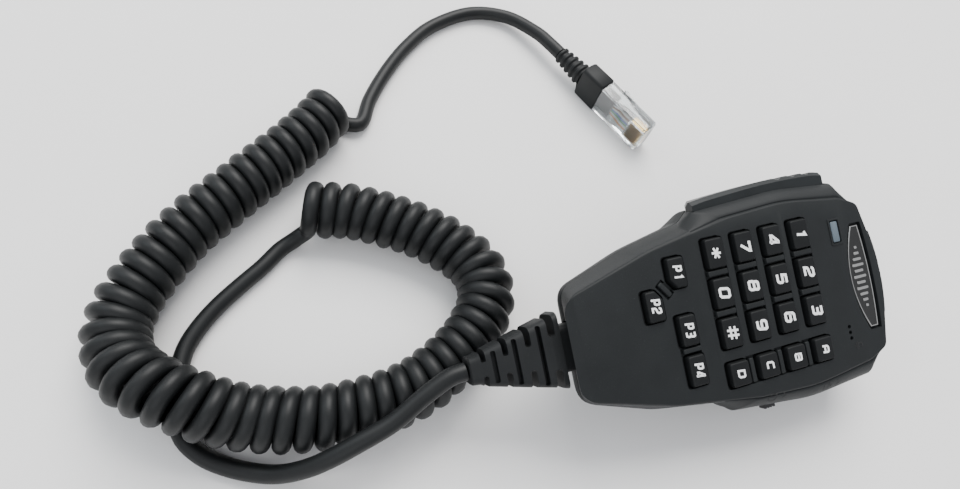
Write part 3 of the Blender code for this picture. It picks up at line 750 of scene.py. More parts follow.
GLYPHS: dict[str, tuple[Stroke, ...]] = {
    "0": ((
        (0.16, 0), (0.84, 0), (1, 0.14), (1, 0.86), (0.84, 1), (0.16, 1), (0, 0.86), (0, 0.14), (0.16, 0),
    ),),
    "1": (((0.22, 0.84), (0.6, 1), (0.6, 0)),),
    "2": (((0, 0.78), (0, 0.88), (0.14, 1), (0.86, 1), (1, 0.86), (1, 0.66), (0.86, 0.54), (0.14, 0.42),
           (0, 0.3), (0, 0), (1, 0)),),
    "3": (((0, 1), (0.86, 1), (1, 0.88), (1, 0.64), (0.86, 0.52), (0.2, 0.52)),
          ((0.86, 0.52), (1, 0.4), (1, 0.14), (0.86, 0), (0, 0))),
    "4": (((0.76, 0), (0.76, 1), (0.64, 1), (0, 0.38), (0, 0.22), (1.04, 0.22)),),
    "5": (((1, 1), (0.06, 1), (0.06, 0.56), (0.86, 0.56), (1, 0.44), (1, 0.14), (0.86, 0), (0, 0)),),
    "6": (((0.96, 1), (0.16, 1), (0, 0.86), (0, 0.14), (0.14, 0), (0.86, 0), (1, 0.14), (1, 0.42),
           (0.86, 0.54), (0, 0.54)),),
    "7": (((0, 0.84), (0, 1), (1, 1), (1, 0.86), (0.36, 0)),),
    "8": (((0.14, 0.53), (0.86, 0.53), (1, 0.42), (1, 0.13), (0.86, 0), (0.14, 0), (0, 0.13), (0, 0.42),
           (0.14, 0.53)),
          ((0.14, 0.53), (0.03, 0.64), (0.03, 0.89), (0.16, 1), (0.84, 1), (0.97, 0.89), (0.97, 0.64),
           (0.86, 0.53))),
    "9": (((0.04, 0), (0.84, 0), (1, 0.14), (1, 0.86), (0.86, 1), (0.14, 1), (0, 0.86), (0, 0.58),
           (0.14, 0.46), (1, 0.46)),),
    "*": (((0.5, 0.1), (0.5, 0.9)), ((0.08, 0.3), (0.92, 0.7)), ((0.08, 0.7), (0.92, 0.3))),
    "#": (((0.3, 0), (0.3, 1)), ((0.72, 0), (0.72, 1)), ((-0.04, 0.3), (1.04, 0.3)),
          ((-0.04, 0.7), (1.04, 0.7))),
    "A": (((0, 0), (0, 0.84), (0.18, 1), (0.82, 1), (1, 0.84), (1, 0)), ((0, 0.42), (1, 0.42))),
    "B": (((0, 0), (0, 1), (0.82, 1), (0.96, 0.88), (0.96, 0.64), (0.82, 0.53), (0, 0.53)),
          ((0.82, 0.53), (1, 0.41), (1, 0.13), (0.86, 0), (0, 0))),
    "C": (((1, 1), (0.16, 1), (0, 0.86), (0, 0.14), (0.16, 0), (1, 0)),),
    "D": (((0, 0), (0, 1), (0.82, 1), (1, 0.84), (1, 0.16), (0.82, 0), (0, 0)),),
    "P": (((0, 0), (0, 1), (0.84, 1), (1, 0.86), (1, 0.56), (0.84, 0.42), (0, 0.42)),),
}


@dataclass(frozen=True)
class Lettering:
    """Bold slanted legends drawn as broad strokes."""

    stroke: float = 1.0
    slant: float = 0.14
    thickness: float = 0.05

    def ribbon(self, form: Form, line: Sequence[Point2], base: float) -> None:
        """Add one broad stroke with mitred corners.

        Args:
            form: The form to add to.
            line: The stroke's middle line; it is closed if its ends meet.
            base: The height that it stands on.
        """
        half = self.stroke / 2
        points = [Vector(point) for point in line]
        closed = (points[0] - points[-1]).length < 1e-6
        if closed:
            points = points[:-1]
        count = len(points)
        rings = []
        for index, point in enumerate(points):
            before = points[index - 1] if closed or index > 0 else None
            after = points[(index + 1) % count] if closed or index < count - 1 else None
            into = (point - before).normalized() if before is not None else (after - point).normalized()
            out = (after - point).normalized() if after is not None else into
            bisector = into + out
            bisector = bisector.normalized() if bisector.length > 1e-6 else into
            across = Vector((-bisector.y, bisector.x))
            reach = half / max(0.5, across.dot(Vector((-into.y, into.x))))
            left, right = point + across * reach, point - across * reach
            top = base + self.thickness
            rings.append([(right.x, right.y, base), (left.x, left.y, base), (left.x, left.y, top),
                          (right.x, right.y, top)])
        form.loft(rings, hooped=closed)

    def write(
        self, form: Form, text: str, centre: Point2, size: Point2, base: float, gap: float = 0.9
    ) -> None:
        """Add a word of one or more characters.

        Args:
            form: The form to add to.
            text: The characters.
            centre: The word's middle.
            size: One character's width and height, over its strokes.
            base: The height that it stands on.
            gap: The space between characters.
        """
        width, height = size[0] - self.stroke, size[1] - self.stroke
        pitch = size[0] + gap
        for place, character in enumerate(text):
            left = centre[0] + (place - (len(text) - 1) / 2) * pitch - width / 2
            for layer, stroke in enumerate(GLYPHS[character]):
                line = []
                for px, py in stroke:
                    rise = (py - 0.5) * height
                    line.append((left + px * width + rise * self.slant, centre[1] + rise))
                self.ribbon(form, line, base + 0.004 * layer)


# --- Case ---------------------------------------------------------------------------------------


@dataclass
class Case:
    """The front and back shells, with the marks moulded into them."""

    parting: float = -9.0
    parting_gap: float = 0.3
    wall: float = 1.8
    rear: float = -25.2
    end_y: float = -60.4
    cord_end_rise: float = 8.5
    cord_end_run: float = 46.0
    middle_y: float = -9.6
    half_width: float = 31.7
    half_length: float = 53.6
    softness: float = 0.22
    corner_lean: float = 3.0
    pinch: float = 1.4
    face_outline: tuple[Corner, ...] = (
        (12.7, -62.6, 5.0), (20.5, -35.0, 60.0), (22.9, -21.0, 20.0), (25.2, -8.0, 20.0), (26.3, 11.0, 60.0),
        (23.9, 31.0, 8.0), (22.7, 34.3, 2.0), (21.4, 37.3, 2.5), (0.0, 41.8, 80.0),
    )
    edge_outline: tuple[Corner, ...] = (
        (15.8, -59.0, 5.5), (22.9, -38.0, 60.0), (26.9, -18.6, 3.0), (29.9, -15.0, 2.5), (31.7, 12.0, 60.0),
        (30.3, 33.6, 1.2), (25.0, 35.6, 2.0), (22.9, 39.2, 2.5), (0.0, 43.9, 80.0),
    )
    rear_outline: tuple[Corner, ...] = (
        (11.0, -54.8, 4.0), (17.0, -38.0, 60.0), (19.8, -24.5, 20.0), (21.6, -12.0, 20.0), (21.9, 8.0, 60.0),
        (21.9, 26.0, 8.0), (21.4, 32.0, 3.0), (20.0, 36.0, 3.5), (0.0, 39.4, 80.0),
    )
    cord_half_profile: tuple[Point2, ...] = (
        (0.0, 0.0), (0.08, -0.05), (0.16, -0.17), (0.25, -0.45), (0.33, -1.05), (0.55, -3.7), (0.8, -6.6),
        (1.0, -9.0),
    )
    shoulder_profile: tuple[Point2, ...] = (
        (0.0, 0.0), (0.08, -0.25), (0.14, -0.85), (0.26, -0.78), (0.58, -2.0), (0.8, -3.6), (0.88, -4.8),
        (1.0, -9.0),
    )
    back_profile: tuple[Point2, ...] = (
        (0.0, 0.0), (0.0, 0.25), (0.12, 0.5), (0.36, 0.76), (0.68, 0.93), (1.0, 1.0),
    )
    case_screws: tuple[Point2, ...] = ((-10.6, -50.0), (10.6, -50.0), (-17.2, 32.3), (17.2, 32.3))

    def whole(self, half: Sequence[Corner], inset: float) -> Outline:
        """Return a closed outline from its right-hand half, drawn in by an amount.

        Args:
            half: The half outline, which ends on the middle line.
            inset: How far it is drawn in.

        Returns:
            The outline's points.
        """
        left = [(-px, py, radius) for px, py, radius in reversed(half[:-1])]
        scale_x = (self.half_width - inset) / self.half_width
        scale_y = (self.half_length - inset) / self.half_length
        outline = rounded([*half, *left], 6)
        if half is self.edge_outline:
            outline = [
                (px - self.pinch * self.near_corner(py) if px > 20.0 else px, py) for px, py in outline
            ]
        return [(px * scale_x, self.middle_y + (py - self.middle_y) * scale_y) for px, py in outline]

    def rear_height(self, y: float) -> float:
        """Return the height of the back at a place along the case."""
        run = max(0.0, min(1.0, (self.end_y + self.cord_end_run - y) / self.cord_end_run))
        return self.rear + self.cord_end_rise * run

    def front_rings(self, inset: float, drop: float, bottom: float) -> list[Ring]:
        """Return the rings of the front shell's outside, or of its hollow.

        Args:
            inset: How far the outline is drawn in.
            drop: How far the top is lowered.
            bottom: The height of the lowest ring.

        Returns:
            The rings, from the face down.
        """
        face = self.whole(self.face_outline, inset)
        edge = self.whole(self.edge_outline, inset)
        rings = []
        profiles = zip(smooth_line(self.cord_half_profile, 3), smooth_line(self.shoulder_profile, 3))
        for plain, shouldered in profiles:
            ring = []
            for a, b in zip(face, edge):
                share, height = plain.lerp(shouldered, self.shoulder(a[1]))
                share = min(1.0, max(0.0, share))
                y = a[1] + (b[1] - a[1]) * share
                lean = self.corner_lean * share * min(1.0, (height - self.parting) / 4.4)
                ring.append((a[0] + (b[0] - a[0]) * share, y - lean * self.near_corner(y),
                             max(bottom, min(0.0, height) - drop)))
            rings.append(ring)
        rings.append(level(edge, bottom))
        return rings

    def near_corner(self, y: float) -> float:
        """Return how near a place is to the shoulder's corner at the cord end, from nought to one."""
        share = min(1.0, max(0.0, (y + 40.0) / 20.0), max(0.0, (2.0 - y) / 14.0))
        return share * share * (3 - 2 * share)

    def shoulder(self, y: float) -> float:
        """Return how much of a shoulder the face has at a place along the case, from nought to one."""
        rise = min(1.0, max(0.0, (y + 22.0) / 6.0))
        fall = min(1.0, max(0.0, (34.0 - y) / 3.0))
        share = min(rise, fall)
        return share * share * (3 - 2 * share)

    def back_rings(self, inset: float, lift: float, top: float) -> list[Ring]:
        """Return the rings of the back shell's outside, or of its hollow.

        Args:
            inset: How far the outline is drawn in.
            lift: How far the back is raised.
            top: The height of the highest ring.

        Returns:
            The rings, from the parting down.
        """
        edge = self.whole(self.edge_outline, inset)
        rear = self.whole(self.rear_outline, inset)
        rings = []
        for share, depth in smooth_line(self.back_profile, 3):
            ring = []
            for a, b in zip(edge, rear):
                px, py = a[0] + (b[0] - a[0]) * share, a[1] + (b[1] - a[1]) * share
                ring.append((px, py, top + (self.rear_height(py) + lift - top) * depth))
            rings.append(ring)
        return rings

    def bar_notch(self, bar: "PushBar") -> Form:
        """Return the space that the push-to-talk bar stands in."""
        rings = []
        for y in (bar.span[0] - 0.4, -13.0, -10.4, bar.span[1] + 0.4):
            low, high = bar.foot(y) - 0.5, bar.height[1] + 0.4
            rings.append([(-36.0, y, low), (-25.5, y, low), (-25.5, y, high), (-36.0, y, high)])
        return Form().loft(rings)

    def relief_neck(self) -> Form:
        """Return the space of the strain relief's neck between the shells."""
        rings = []
        for y in (-63.6, -55.0):
            rings.append([(px, y, pz) for px, pz in rectangle((-0.4, -8.2), (13.6, 7.6), 2.0)])
        return Form().loft(rings)

    def make_front(
        self, pad: "Keypad", bar: "PushBar", ends: "EndKeys", sliders: "Sliders"
    ) -> bpy.types.Object:
        """Build the front shell with every opening in it.

        Args:
            pad: The keypad, for its openings.
            bar: The push-to-talk bar, for its notch.
            ends: The keys on the top end, for their openings.
            sliders: The edge sliders, for their slots.

        Returns:
            The shell.
        """
        openings = Form()
        for key in pad.keys():
            openings.prism(key.outline(0.3), -3.6, 1.0)
        openings.prism(rectangle(pad.led_at, grown(pad.led_size, 0.3), 0.5), -3.4, 1.0)
        openings.prism(pad.badge_outline(0.3, 1.1, 0.8), -1.25, 1.0)
        for x in pad.hole_xs:
            openings.turned((x, pad.hole_y), ((0.58, -3.4), (0.58, 1.0)), 24)
        for x in ends.openings():
            openings.block(x, (37.0, 46.0), (ends.height[0] - 0.3, ends.height[1] + 0.3))
        for slot in sliders.slots():
            openings.block((27.0, 34.0), slot, (sliders.height[0] - 0.3, sliders.height[1] + 0.3))
        recesses = Form()
        for key in pad.keys():
            recesses.prism([(px - 0.15, py - 0.95) for px, py in key.outline(0.45)], -1.3, 1.0)
        piece = Piece(
            "face_shell", Form().loft(self.front_rings(0.0, 0.0, self.parting), ladder=True), Finish.SHELL,
            cuts=(
                Form().loft(self.front_rings(self.wall, self.wall, self.parting - 2.0), ladder=True),
                openings, recesses, pad.channels(), self.bar_notch(bar), self.relief_neck(),
            ),
            edge=self.softness, replaces=("front_shell",),
        )
        return piece.make()

    def make_back(self, bar: "PushBar") -> bpy.types.Object:
        """Build the back shell with its screw wells and grip lines.

        Args:
            bar: The push-to-talk bar, for its notch.

        Returns:
            The shell.
        """
        wells = Form()
        for px, py in self.case_screws:
            floor = self.rear_height(py)
            wells.turned((px, py), ((2.6, floor - 3.0), (2.6, floor + 3.6)), 28)
        grips = Form()
        for index in range(7):
            y = 14.0 + 2.6 * index
            grips.block((-14.0, -8.5), (y, y + 1.1), (self.rear - 2.0, self.rear + 0.45))
            grips.block((8.5, 14.0), (y, y + 1.1), (self.rear - 2.0, self.rear + 0.45))
        sockets = Form()
        sockets.turned((0.0, 8.0), ((1.8, self.rear - 2.0), (1.8, self.rear + 6.0)), 24)
        top = self.parting - self.parting_gap
        hollow = Form().loft(self.back_rings(self.wall, self.wall, self.parting + 1.5), ladder=True)
        shell = Piece(
            "rear_shell", Form().loft(self.back_rings(0.0, 0.0, top), ladder=True), Finish.SHELL,
            cuts=(hollow, self.bar_notch(bar), self.relief_neck(), wells, grips, sockets),
            edge=self.softness, replaces=("back_shell",),
        )
        return shell.make()


# --- Keypad -------------------------------------------------------------------------------------


class CutCorner(Enum):
    """Which corner of a key is cut off, to leave room for its neighbour."""

    NONE = "none"
    RIGHT_LOW = "right_low"
    LEFT_HIGH = "left_high"


@dataclass(frozen=True)
class Key:
    """One key of the keypad."""

    node: str
    text: str
    centre: Point2
    size: Point2
    cut: CutCorner = CutCorner.NONE
    chamfer: float = 2.6
    top: float = 0.9
    bottom: float = -3.0

    def outline(self, grow: float, radius: float = 0.9) -> Outline:
        """Return the key's outline, larger by an amount on every side.

        Args:
            grow: How much larger it is.
            radius: Its corners' radius.

        Returns:
            The outline's points.
        """
        cx, cy = self.centre
        hx, hy = self.size[0] / 2 + grow, self.size[1] / 2 + grow
        corners = [(cx - hx, cy - hy), (cx + hx, cy - hy), (cx + hx, cy + hy), (cx - hx, cy + hy)]
        if self.cut is CutCorner.RIGHT_LOW:
            corners[1:2] = [(cx + hx - self.chamfer, cy - hy), (cx + hx, cy - hy + 0.75 * self.chamfer)]
        if self.cut is CutCorner.LEFT_HIGH:
            corners[3:4] = [(cx - hx + self.chamfer, cy + hy), (cx - hx, cy + hy - 0.75 * self.chamfer)]
        return rounded([(px, py, max(0.2, radius + grow)) for px, py in corners], 4)

    def form(self) -> Form:
        """Return the key's body: a flange under the face, straight walls and a rounded top edge."""
        lip = self.bottom + 0.8
        rings = [level(self.outline(0.6), self.bottom), level(self.outline(0.6), lip)]
        rings.append(level(self.outline(0.0), lip))
        rings.append(level(self.outline(0.0), -0.2))
        rings.append(level(self.outline(-0.16), self.top - 0.55))
        for step in range(1, 6):
            turn = math.radians(18.0 * step)
            inset = 0.16 + 0.5 * (1 - math.cos(turn))
            rings.append(level(self.outline(-inset), self.top - 0.55 + 0.55 * math.sin(turn)))
        return Form().loft(rings)


@dataclass
class Keypad:
    """The keys with their legends, the bars between them, the lamp window and the nameplate."""

    pitch: Point2 = (11.2, 9.8)
    first_column: float = -16.65
    first_row: float = -15.0
    digit_size: Point2 = (8.6, 6.1)
    letter_size: Point2 = (7.0, 6.4)
    preset_size: Point2 = (8.6, 5.4)
    letter_x: float = 17.3
    led_at: Point2 = (-14.9, 27.5)
    led_size: Point2 = (6.1, 2.4)
    badge_x: float = -0.2
    badge_half_length: float = 15.3
    badge_low: Point2 = (29.8, 3.6)
    badge_high: Point2 = (37.0, -0.9)
    hole_xs: tuple[float, ...] = (13.3, 15.0, 16.7)
    hole_y: float = 25.3
    rows: tuple[str, ...] = ("*0#D", "789C", "456B", "123A")
    presets: tuple[tuple[float, float, CutCorner], ...] = (
        (-13.8, -28.2, CutCorner.RIGHT_LOW), (-6.3, -36.8, CutCorner.LEFT_HIGH),
        (2.1, -28.2, CutCorner.NONE), (13.2, -27.8, CutCorner.NONE),
    )

    def row_y(self, row: int) -> float:
        """Return the middle of a row of keys."""
        return self.first_row + row * self.pitch[1]

    def keys(self) -> list[Key]:
        """Return every key, row by row from the cord end, then the presets."""
        names = {"*": "star", "#": "hash"}
        keys = []
        for row, texts in enumerate(self.rows):
            for column, text in enumerate(texts[:3]):
                centre = (self.first_column + column * self.pitch[0], self.row_y(row))
                keys.append(Key(f"key_{names.get(text, text)}", text, centre, self.digit_size))
            letter = texts[3]
            centre = (self.letter_x, self.row_y(row))
            keys.append(Key(f"key_{letter.lower()}", letter, centre, self.letter_size))
        for index, (x, y, cut) in enumerate(self.presets, 1):
            keys.append(Key(f"key_p{index}", f"P{index}", (x, y), self.preset_size, cut))
        return keys

    def channels(self) -> Form:
        """Return the sunken strips that the bars between the keys stand in."""
        form = Form()
        half = self.digit_size[1] / 2
        for row in range(len(self.rows)):
            for column in range(2):
                x = self.first_column + (column + 0.5) * self.pitch[0]
                y = self.row_y(row)
                form.block((x - 1.5, x + 1.5), (y - half - 1.4, y + half + 0.2), (-1.1, 1.0))
            if row:
                y = self.row_y(row) - 5.4
                x = self.letter_x
                form.block((x - 4.1, x + 3.8), (y - 1.5, y + 1.7), (-1.1, 1.0))
        form.block((6.3, 8.8), (-31.9, -25.3), (-1.1, 1.0))
        lean = Matrix.Rotation(math.radians(37.0), 2)
        box = rectangle((0.0, 0.0), (5.4, 2.9), 0.3)
        slot = [lean @ Vector(point) + Vector((-10.05, -32.7)) for point in box]
        return form.prism([(point.x, point.y) for point in slot], -1.1, 1.0)

    def badge_outline(self, below: float, above: float, longer: float, steps: int = 28) -> Outline:
        """Return the nameplate's outline, grown by three amounts.

        Args:
            below: How far its lower edge is moved down.
            above: How far its upper edge is moved up.
            longer: How much longer each half is.
            steps: How many points each edge gets.

        Returns:
            The outline's points.
        """
        shares = [-1 + 2 * step / (steps - 1) for step in range(steps)]
        reach = self.badge_half_length + longer
        middle, (low_y, low_bow), (high_y, high_bow) = self.badge_x, self.badge_low, self.badge_high
        low = [(middle + u * reach, low_y - below + low_bow * u * u) for u in shares]
        high = [(middle + u * reach, high_y + above + high_bow * u * u) for u in shares]
        return low + high[::-1]

    def make_keys(self) -> None:
        """Build every key and its legend."""
        digits, small, signs = Lettering(0.78, 0.16), Lettering(0.56, 0.12), Lettering(0.62, 0.12)
        for key in self.keys():
            Piece(f"{key.node}_cap", key.form(), Finish.KEY, body=key.node, replaces=(key.node,)).make()
            legend = Form()
            if len(key.text) == 2:
                small.write(legend, key.text, key.centre, (1.75, 3.0), key.top, 0.45)
            elif key.text in "ABCD":
                small.write(legend, key.text, key.centre, (2.3, 2.5), key.top)
            elif key.text in "*#":
                signs.write(legend, key.text, key.centre, (3.9, 4.2), key.top)
            else:
                digits.write(legend, key.text, key.centre, (3.1, 3.7), key.top)
            Piece(f"{key.node}_legend", legend, Finish.LEGEND, body=key.node, smooth_angle=20.0).make()

    def make_bars(self) -> None:
        """Build the low bars between neighbouring keys."""
        bars = Form()
        spots = []
        for row in range(len(self.rows)):
            for column in range(2):
                x = self.first_column + (column + 0.5) * self.pitch[0] - 0.15
                spots.append((x, self.row_y(row) - 0.2, 1.5, self.digit_size[1] + 0.2, 0.0))
            if row:
                spots.append((self.letter_x, self.row_y(row) - 5.4, 6.6, 1.35, 0.0))
        spots.append((7.5, -28.1, 1.3, 5.6, 0.0))
        spots.append((-10.05, -32.7, 4.6, 1.35, 37.0))
        for x, y, width, length, turn in spots:
            lean = Matrix.Rotation(math.radians(turn), 2)
            rings = []
            for inset, height in ((0.0, -1.4), (0.0, 0.25), (0.08, 0.36), (0.22, 0.4)):
                outline = rectangle((0.0, 0.0), (width - 2 * inset, length - 2 * inset), 0.3, 3)
                moved = [lean @ Vector(point) + Vector((x, y)) for point in outline]
                rings.append([(point.x, point.y, height) for point in moved])
            bars.loft(rings)
        Piece("key_bars", bars, Finish.SHELL).make()

    def make_window(self) -> None:
        """Build the lamp window and the thin frame round it."""
        frame_form = Form()
        loops = []
        section = ((0.95, -0.1), (0.95, 0.16), (0.8, 0.22), (0.42, 0.22), (0.36, 0.12), (0.36, -0.1))
        for grow, height in section:
            loops.append(level(rectangle(self.led_at, grown(self.led_size, grow), 0.5), height))
        frame_form.loft(loops, hooped=True)
        Piece("window_frame", frame_form, Finish.SHELL).make()
        window = Form()
        rings = []
        for grow, height in ((0.4, -3.0), (0.4, -2.2), (0.0, -2.2), (0.0, 0.02), (-0.12, 0.12)):
            rings.append(level(rectangle(self.led_at, grown(self.led_size, grow), 0.5), height))
        window.loft(rings)
        Piece("lamp_window", window, Finish.WINDOW, replaces=("led_window",)).make()

    def make_badge(self) -> None:
        """Build the nameplate: enamel plate, silver rim and a sound-wave sign."""
        plate = Form().prism(self.badge_outline(-0.25, -0.25, -0.25), -0.8, -0.3)
        Piece("nameplate_plate", plate, Finish.PLATE, replaces=("nameplate",)).make()
        rim = []
        section = ((0.0, -0.8), (0.0, -0.2), (0.07, -0.08), (0.2, -0.06), (0.32, -0.12), (0.36, -0.8))
        for inset, height in section:
            rim.append(level(self.badge_outline(-inset, -inset, -inset), height))
        Piece("nameplate_rim", Form().loft(rim, hooped=True), Finish.RIM).make()
        waves = Form()
        heights = (1.0, 1.9, 3.0, 4.2, 3.2, 4.6, 3.2, 4.2, 3.0, 1.9, 1.0)
        for index, height in enumerate(heights):
            offset = (index - (len(heights) - 1) / 2) * 1.75
            middle = (self.badge_x + offset, 33.4 + 1.35 * (offset / self.badge_half_length) ** 2)
            waves.prism(rectangle(middle, (0.8, height), 0.38, 4), -0.32, -0.16)
        Piece("nameplate_sign", waves, Finish.RIM, edge=0.05).make()


# --- Controls on the edges ----------------------------------------------------------------------


@dataclass
class PushBar:
    """The push-to-talk bar on the left side."""

    pivot: Point2 = (-28.8, -13.5)
    span: Point2 = (-16.0, 31.0)
    height: Point2 = (-15.2, -4.2)
    inner: float = -29.2
    edge_line: tuple[Point2, ...] = (
        (-31.9, -16.0), (-32.6, -11.0), (-33.4, -1.0), (-33.95, 8.0), (-34.15, 18.0), (-33.9, 27.0),
        (-33.3, 31.0),
    )
    groove_ys: tuple[float, ...] = (15.5, 21.0, 26.2)

    def foot(self, y: float) -> float:
        """Return the height of the bar's underside, which rises towards its pivot."""
        return max(self.height[0], -7.4 - 1.5 * (y - self.span[0]))

    def make(self) -> None:
        """Build the bar with its knuckle, bevels and grip grooves."""
        low, high = self.height
        line = smooth_line(self.edge_line, 5)
        rings = []
        for outer, y in line:
            foot = self.foot(y)
            section = (
                (self.inner, foot), (outer + 1.2, foot), (outer, foot + 1.4), (outer, high - 1.1),
                (outer + 1.2, high), (self.inner, high),
            )
            rings.append([(px, y, pz) for px, pz in section])
        reach = (self.inner - 0.5, self.pivot[0] + 2.2)
        knuckle = Form().block(reach, (self.span[0] + 0.2, -11.0), (-7.2, high))
        grooves = Form()
        for y in self.groove_ys:
            outer = min(line, key=lambda point: abs(point[1] - y))[0]
            grooves.turned((outer - 1.7, y), ((2.4, low - 1.0), (2.4, high + 1.0)), 28)
        bore = Form().turned(self.pivot, ((1.1, low - 1.0), (1.1, high - 0.7)), 24)
        pin = Form().turned(self.pivot, ((0.8, -10.8), (0.8, high - 0.9)), 24)
        Piece("pivot_pin", pin, Finish.STEEL, edge=0.1, replaces=("ptt_pivot_pin",)).make()
        Piece(
            "push_bar", Form().loft(rings), Finish.BAR, body="ptt_bar", joined=knuckle, cuts=(grooves, bore),
            edge=0.25, replaces=("ptt_bar",),
        ).make()


@dataclass
class EndKeys:
    """The UP and DOWN keys on the top end."""

    x: Point2 = (2.0, 12.8)
    height: Point2 = (-7.6, -3.4)
    crown: Point2 = (44.9, -0.0085)

    def openings(self) -> list[Point2]:
        """Return the limits along X of the two openings."""
        return [(-self.x[1] - 0.3, -self.x[0] + 0.3), (self.x[0] - 0.3, self.x[1] + 0.3)]

    def make(self) -> None:
        """Build both keys."""
        for node, side in (("up_key", -1), ("down_key", 1)):
            limits = [side * value for value in self.x]
            xs = [limits[0] + (limits[1] - limits[0]) * step / 10 for step in range(11)]
            outline = [(px, self.crown[0] + self.crown[1] * px * px) for px in xs]
            outline += [(limits[1], 39.0), (limits[0], 39.0)]
            Piece(f"{node}_cap", Form().prism(outline, *self.height), Finish.RUBBER, body=node, edge=0.35,
                  edge_angle=50.0, replaces=(node,)).make()


@dataclass
class Sliders:
    """The lamp and lock sliders on the right side."""

    places: dict[str, float] = field(default_factory=lambda: {"lamp": -3.6, "lock": 17.8})
    height: Point2 = (-7.6, -5.0)
    length: float = 3.6
    travel: float = 1.5

    def slots(self) -> list[Point2]:
        """Return the limits along Y of the two slots."""
        reach = self.length / 2 + self.travel + 0.3
        return [(middle - reach, middle + reach) for middle in self.places.values()]

    def make(self) -> None:
        """Build both knobs, with grip notches."""
        for name, middle in self.places.items():
            notches = Form()
            for shift in (-0.9, 0.0, 0.9):
                notches.block((30.4, 33.0), (middle + shift - 0.2, middle + shift + 0.2),
                              (self.height[0] - 1.0, self.height[1] + 1.0))
            half = self.length / 2
            knob = Form().block((28.2, 30.7), (middle - half, middle + half), self.height)
            Piece(f"{name}_knob", knob, Finish.BLACK, body=f"{name}_slider", cuts=(notches,), edge=0.12,
                  replaces=(f"{name}_slider",)).make()


# --- Strain relief ------------------------------------------------------------------------------


@dataclass
class StrainRelief:
    """The notched rubber taper where the cord leaves the case."""

    root: tuple[float, float, float] = (-0.4, -58.0, -8.0)
    tip: tuple[float, float, float] = (-0.3, -88.2, -10.5)
    sections: tuple[tuple[float, float, float], ...] = (
        (-54.2, 6.0, 3.4), (-54.6, 8.0, 4.6), (-56.9, 8.0, 4.6), (-57.1, 6.4, 3.4),
        (-63.4, 6.4, 3.4), (-63.42, 10.3, 4.7), (-66.0, 9.4, 4.9), (-72.4, 7.8, 4.6),
        (-78.6, 6.2, 4.3), (-84.5, 4.7, 3.9), (-86.0, 3.9, 3.8), (-87.9, 3.7, 3.6), (-88.2, 3.3, 3.2),
    )
    side_notches: tuple[tuple[float, float, float], ...] = (
        (-65.8, 4.4, 2.0), (-72.4, 3.1, 1.6), (-78.6, 2.2, 1.5), (-84.5, 1.8, 1.3),
    )
    cross_slots: tuple[tuple[float, float, float], ...] = (
        (-69.2, 7.9, -8.6), (-76.0, 6.0, -9.2), (-81.8, 4.2, -9.7),
    )

    def section(self, y: float, half_width: float, half_height: float) -> Ring:
        """Return one upright section across the taper.

        Args:
            y: Its place along the case.
            half_width: Half its width.
            half_height: Half its height.

        Returns:
            The section's ring.
        """
        share = max(0.0, (self.root[1] - y) / (self.root[1] - self.tip[1]))
        middle_z = self.root[2] + (self.tip[2] - self.root[2]) * share**1.4
        middle_x = self.root[0] + (self.tip[0] - self.root[0]) * share
        outline = rectangle((middle_x, middle_z), (2 * half_width, 2 * half_height), 2.4, 8)
        return [(px, y, pz) for px, pz in outline]

    def make(self) -> bpy.types.Object:
        """Build the taper with its notches."""
        notches = Form()
        for y, web, width in self.side_notches:
            for side in (-1, 1):
                x = sorted((self.tip[0] + side * web, self.tip[0] + side * 14.0))
                middle = ((x[0] + x[1]) / 2, y)
                notches.prism(rectangle(middle, (x[1] - x[0], width), width / 2, 6), -18.0, -1.0)
        for y, half, middle in self.cross_slots:
            for low, high in ((-18.0, middle - 2.5), (middle + 2.5, -1.0)):
                notches.prism(rectangle((self.tip[0], y), (2 * half, 1.3), 0.6, 6), low, high)
        body = Form().loft([self.section(*section) for section in self.sections])
        return Piece(
            "cord_relief", body, Finish.RUBBER, cuts=(notches,), edge=0.22, replaces=("strain_relief",),
        ).make()


# --- Plug ---------------------------------------------------------------------------------------


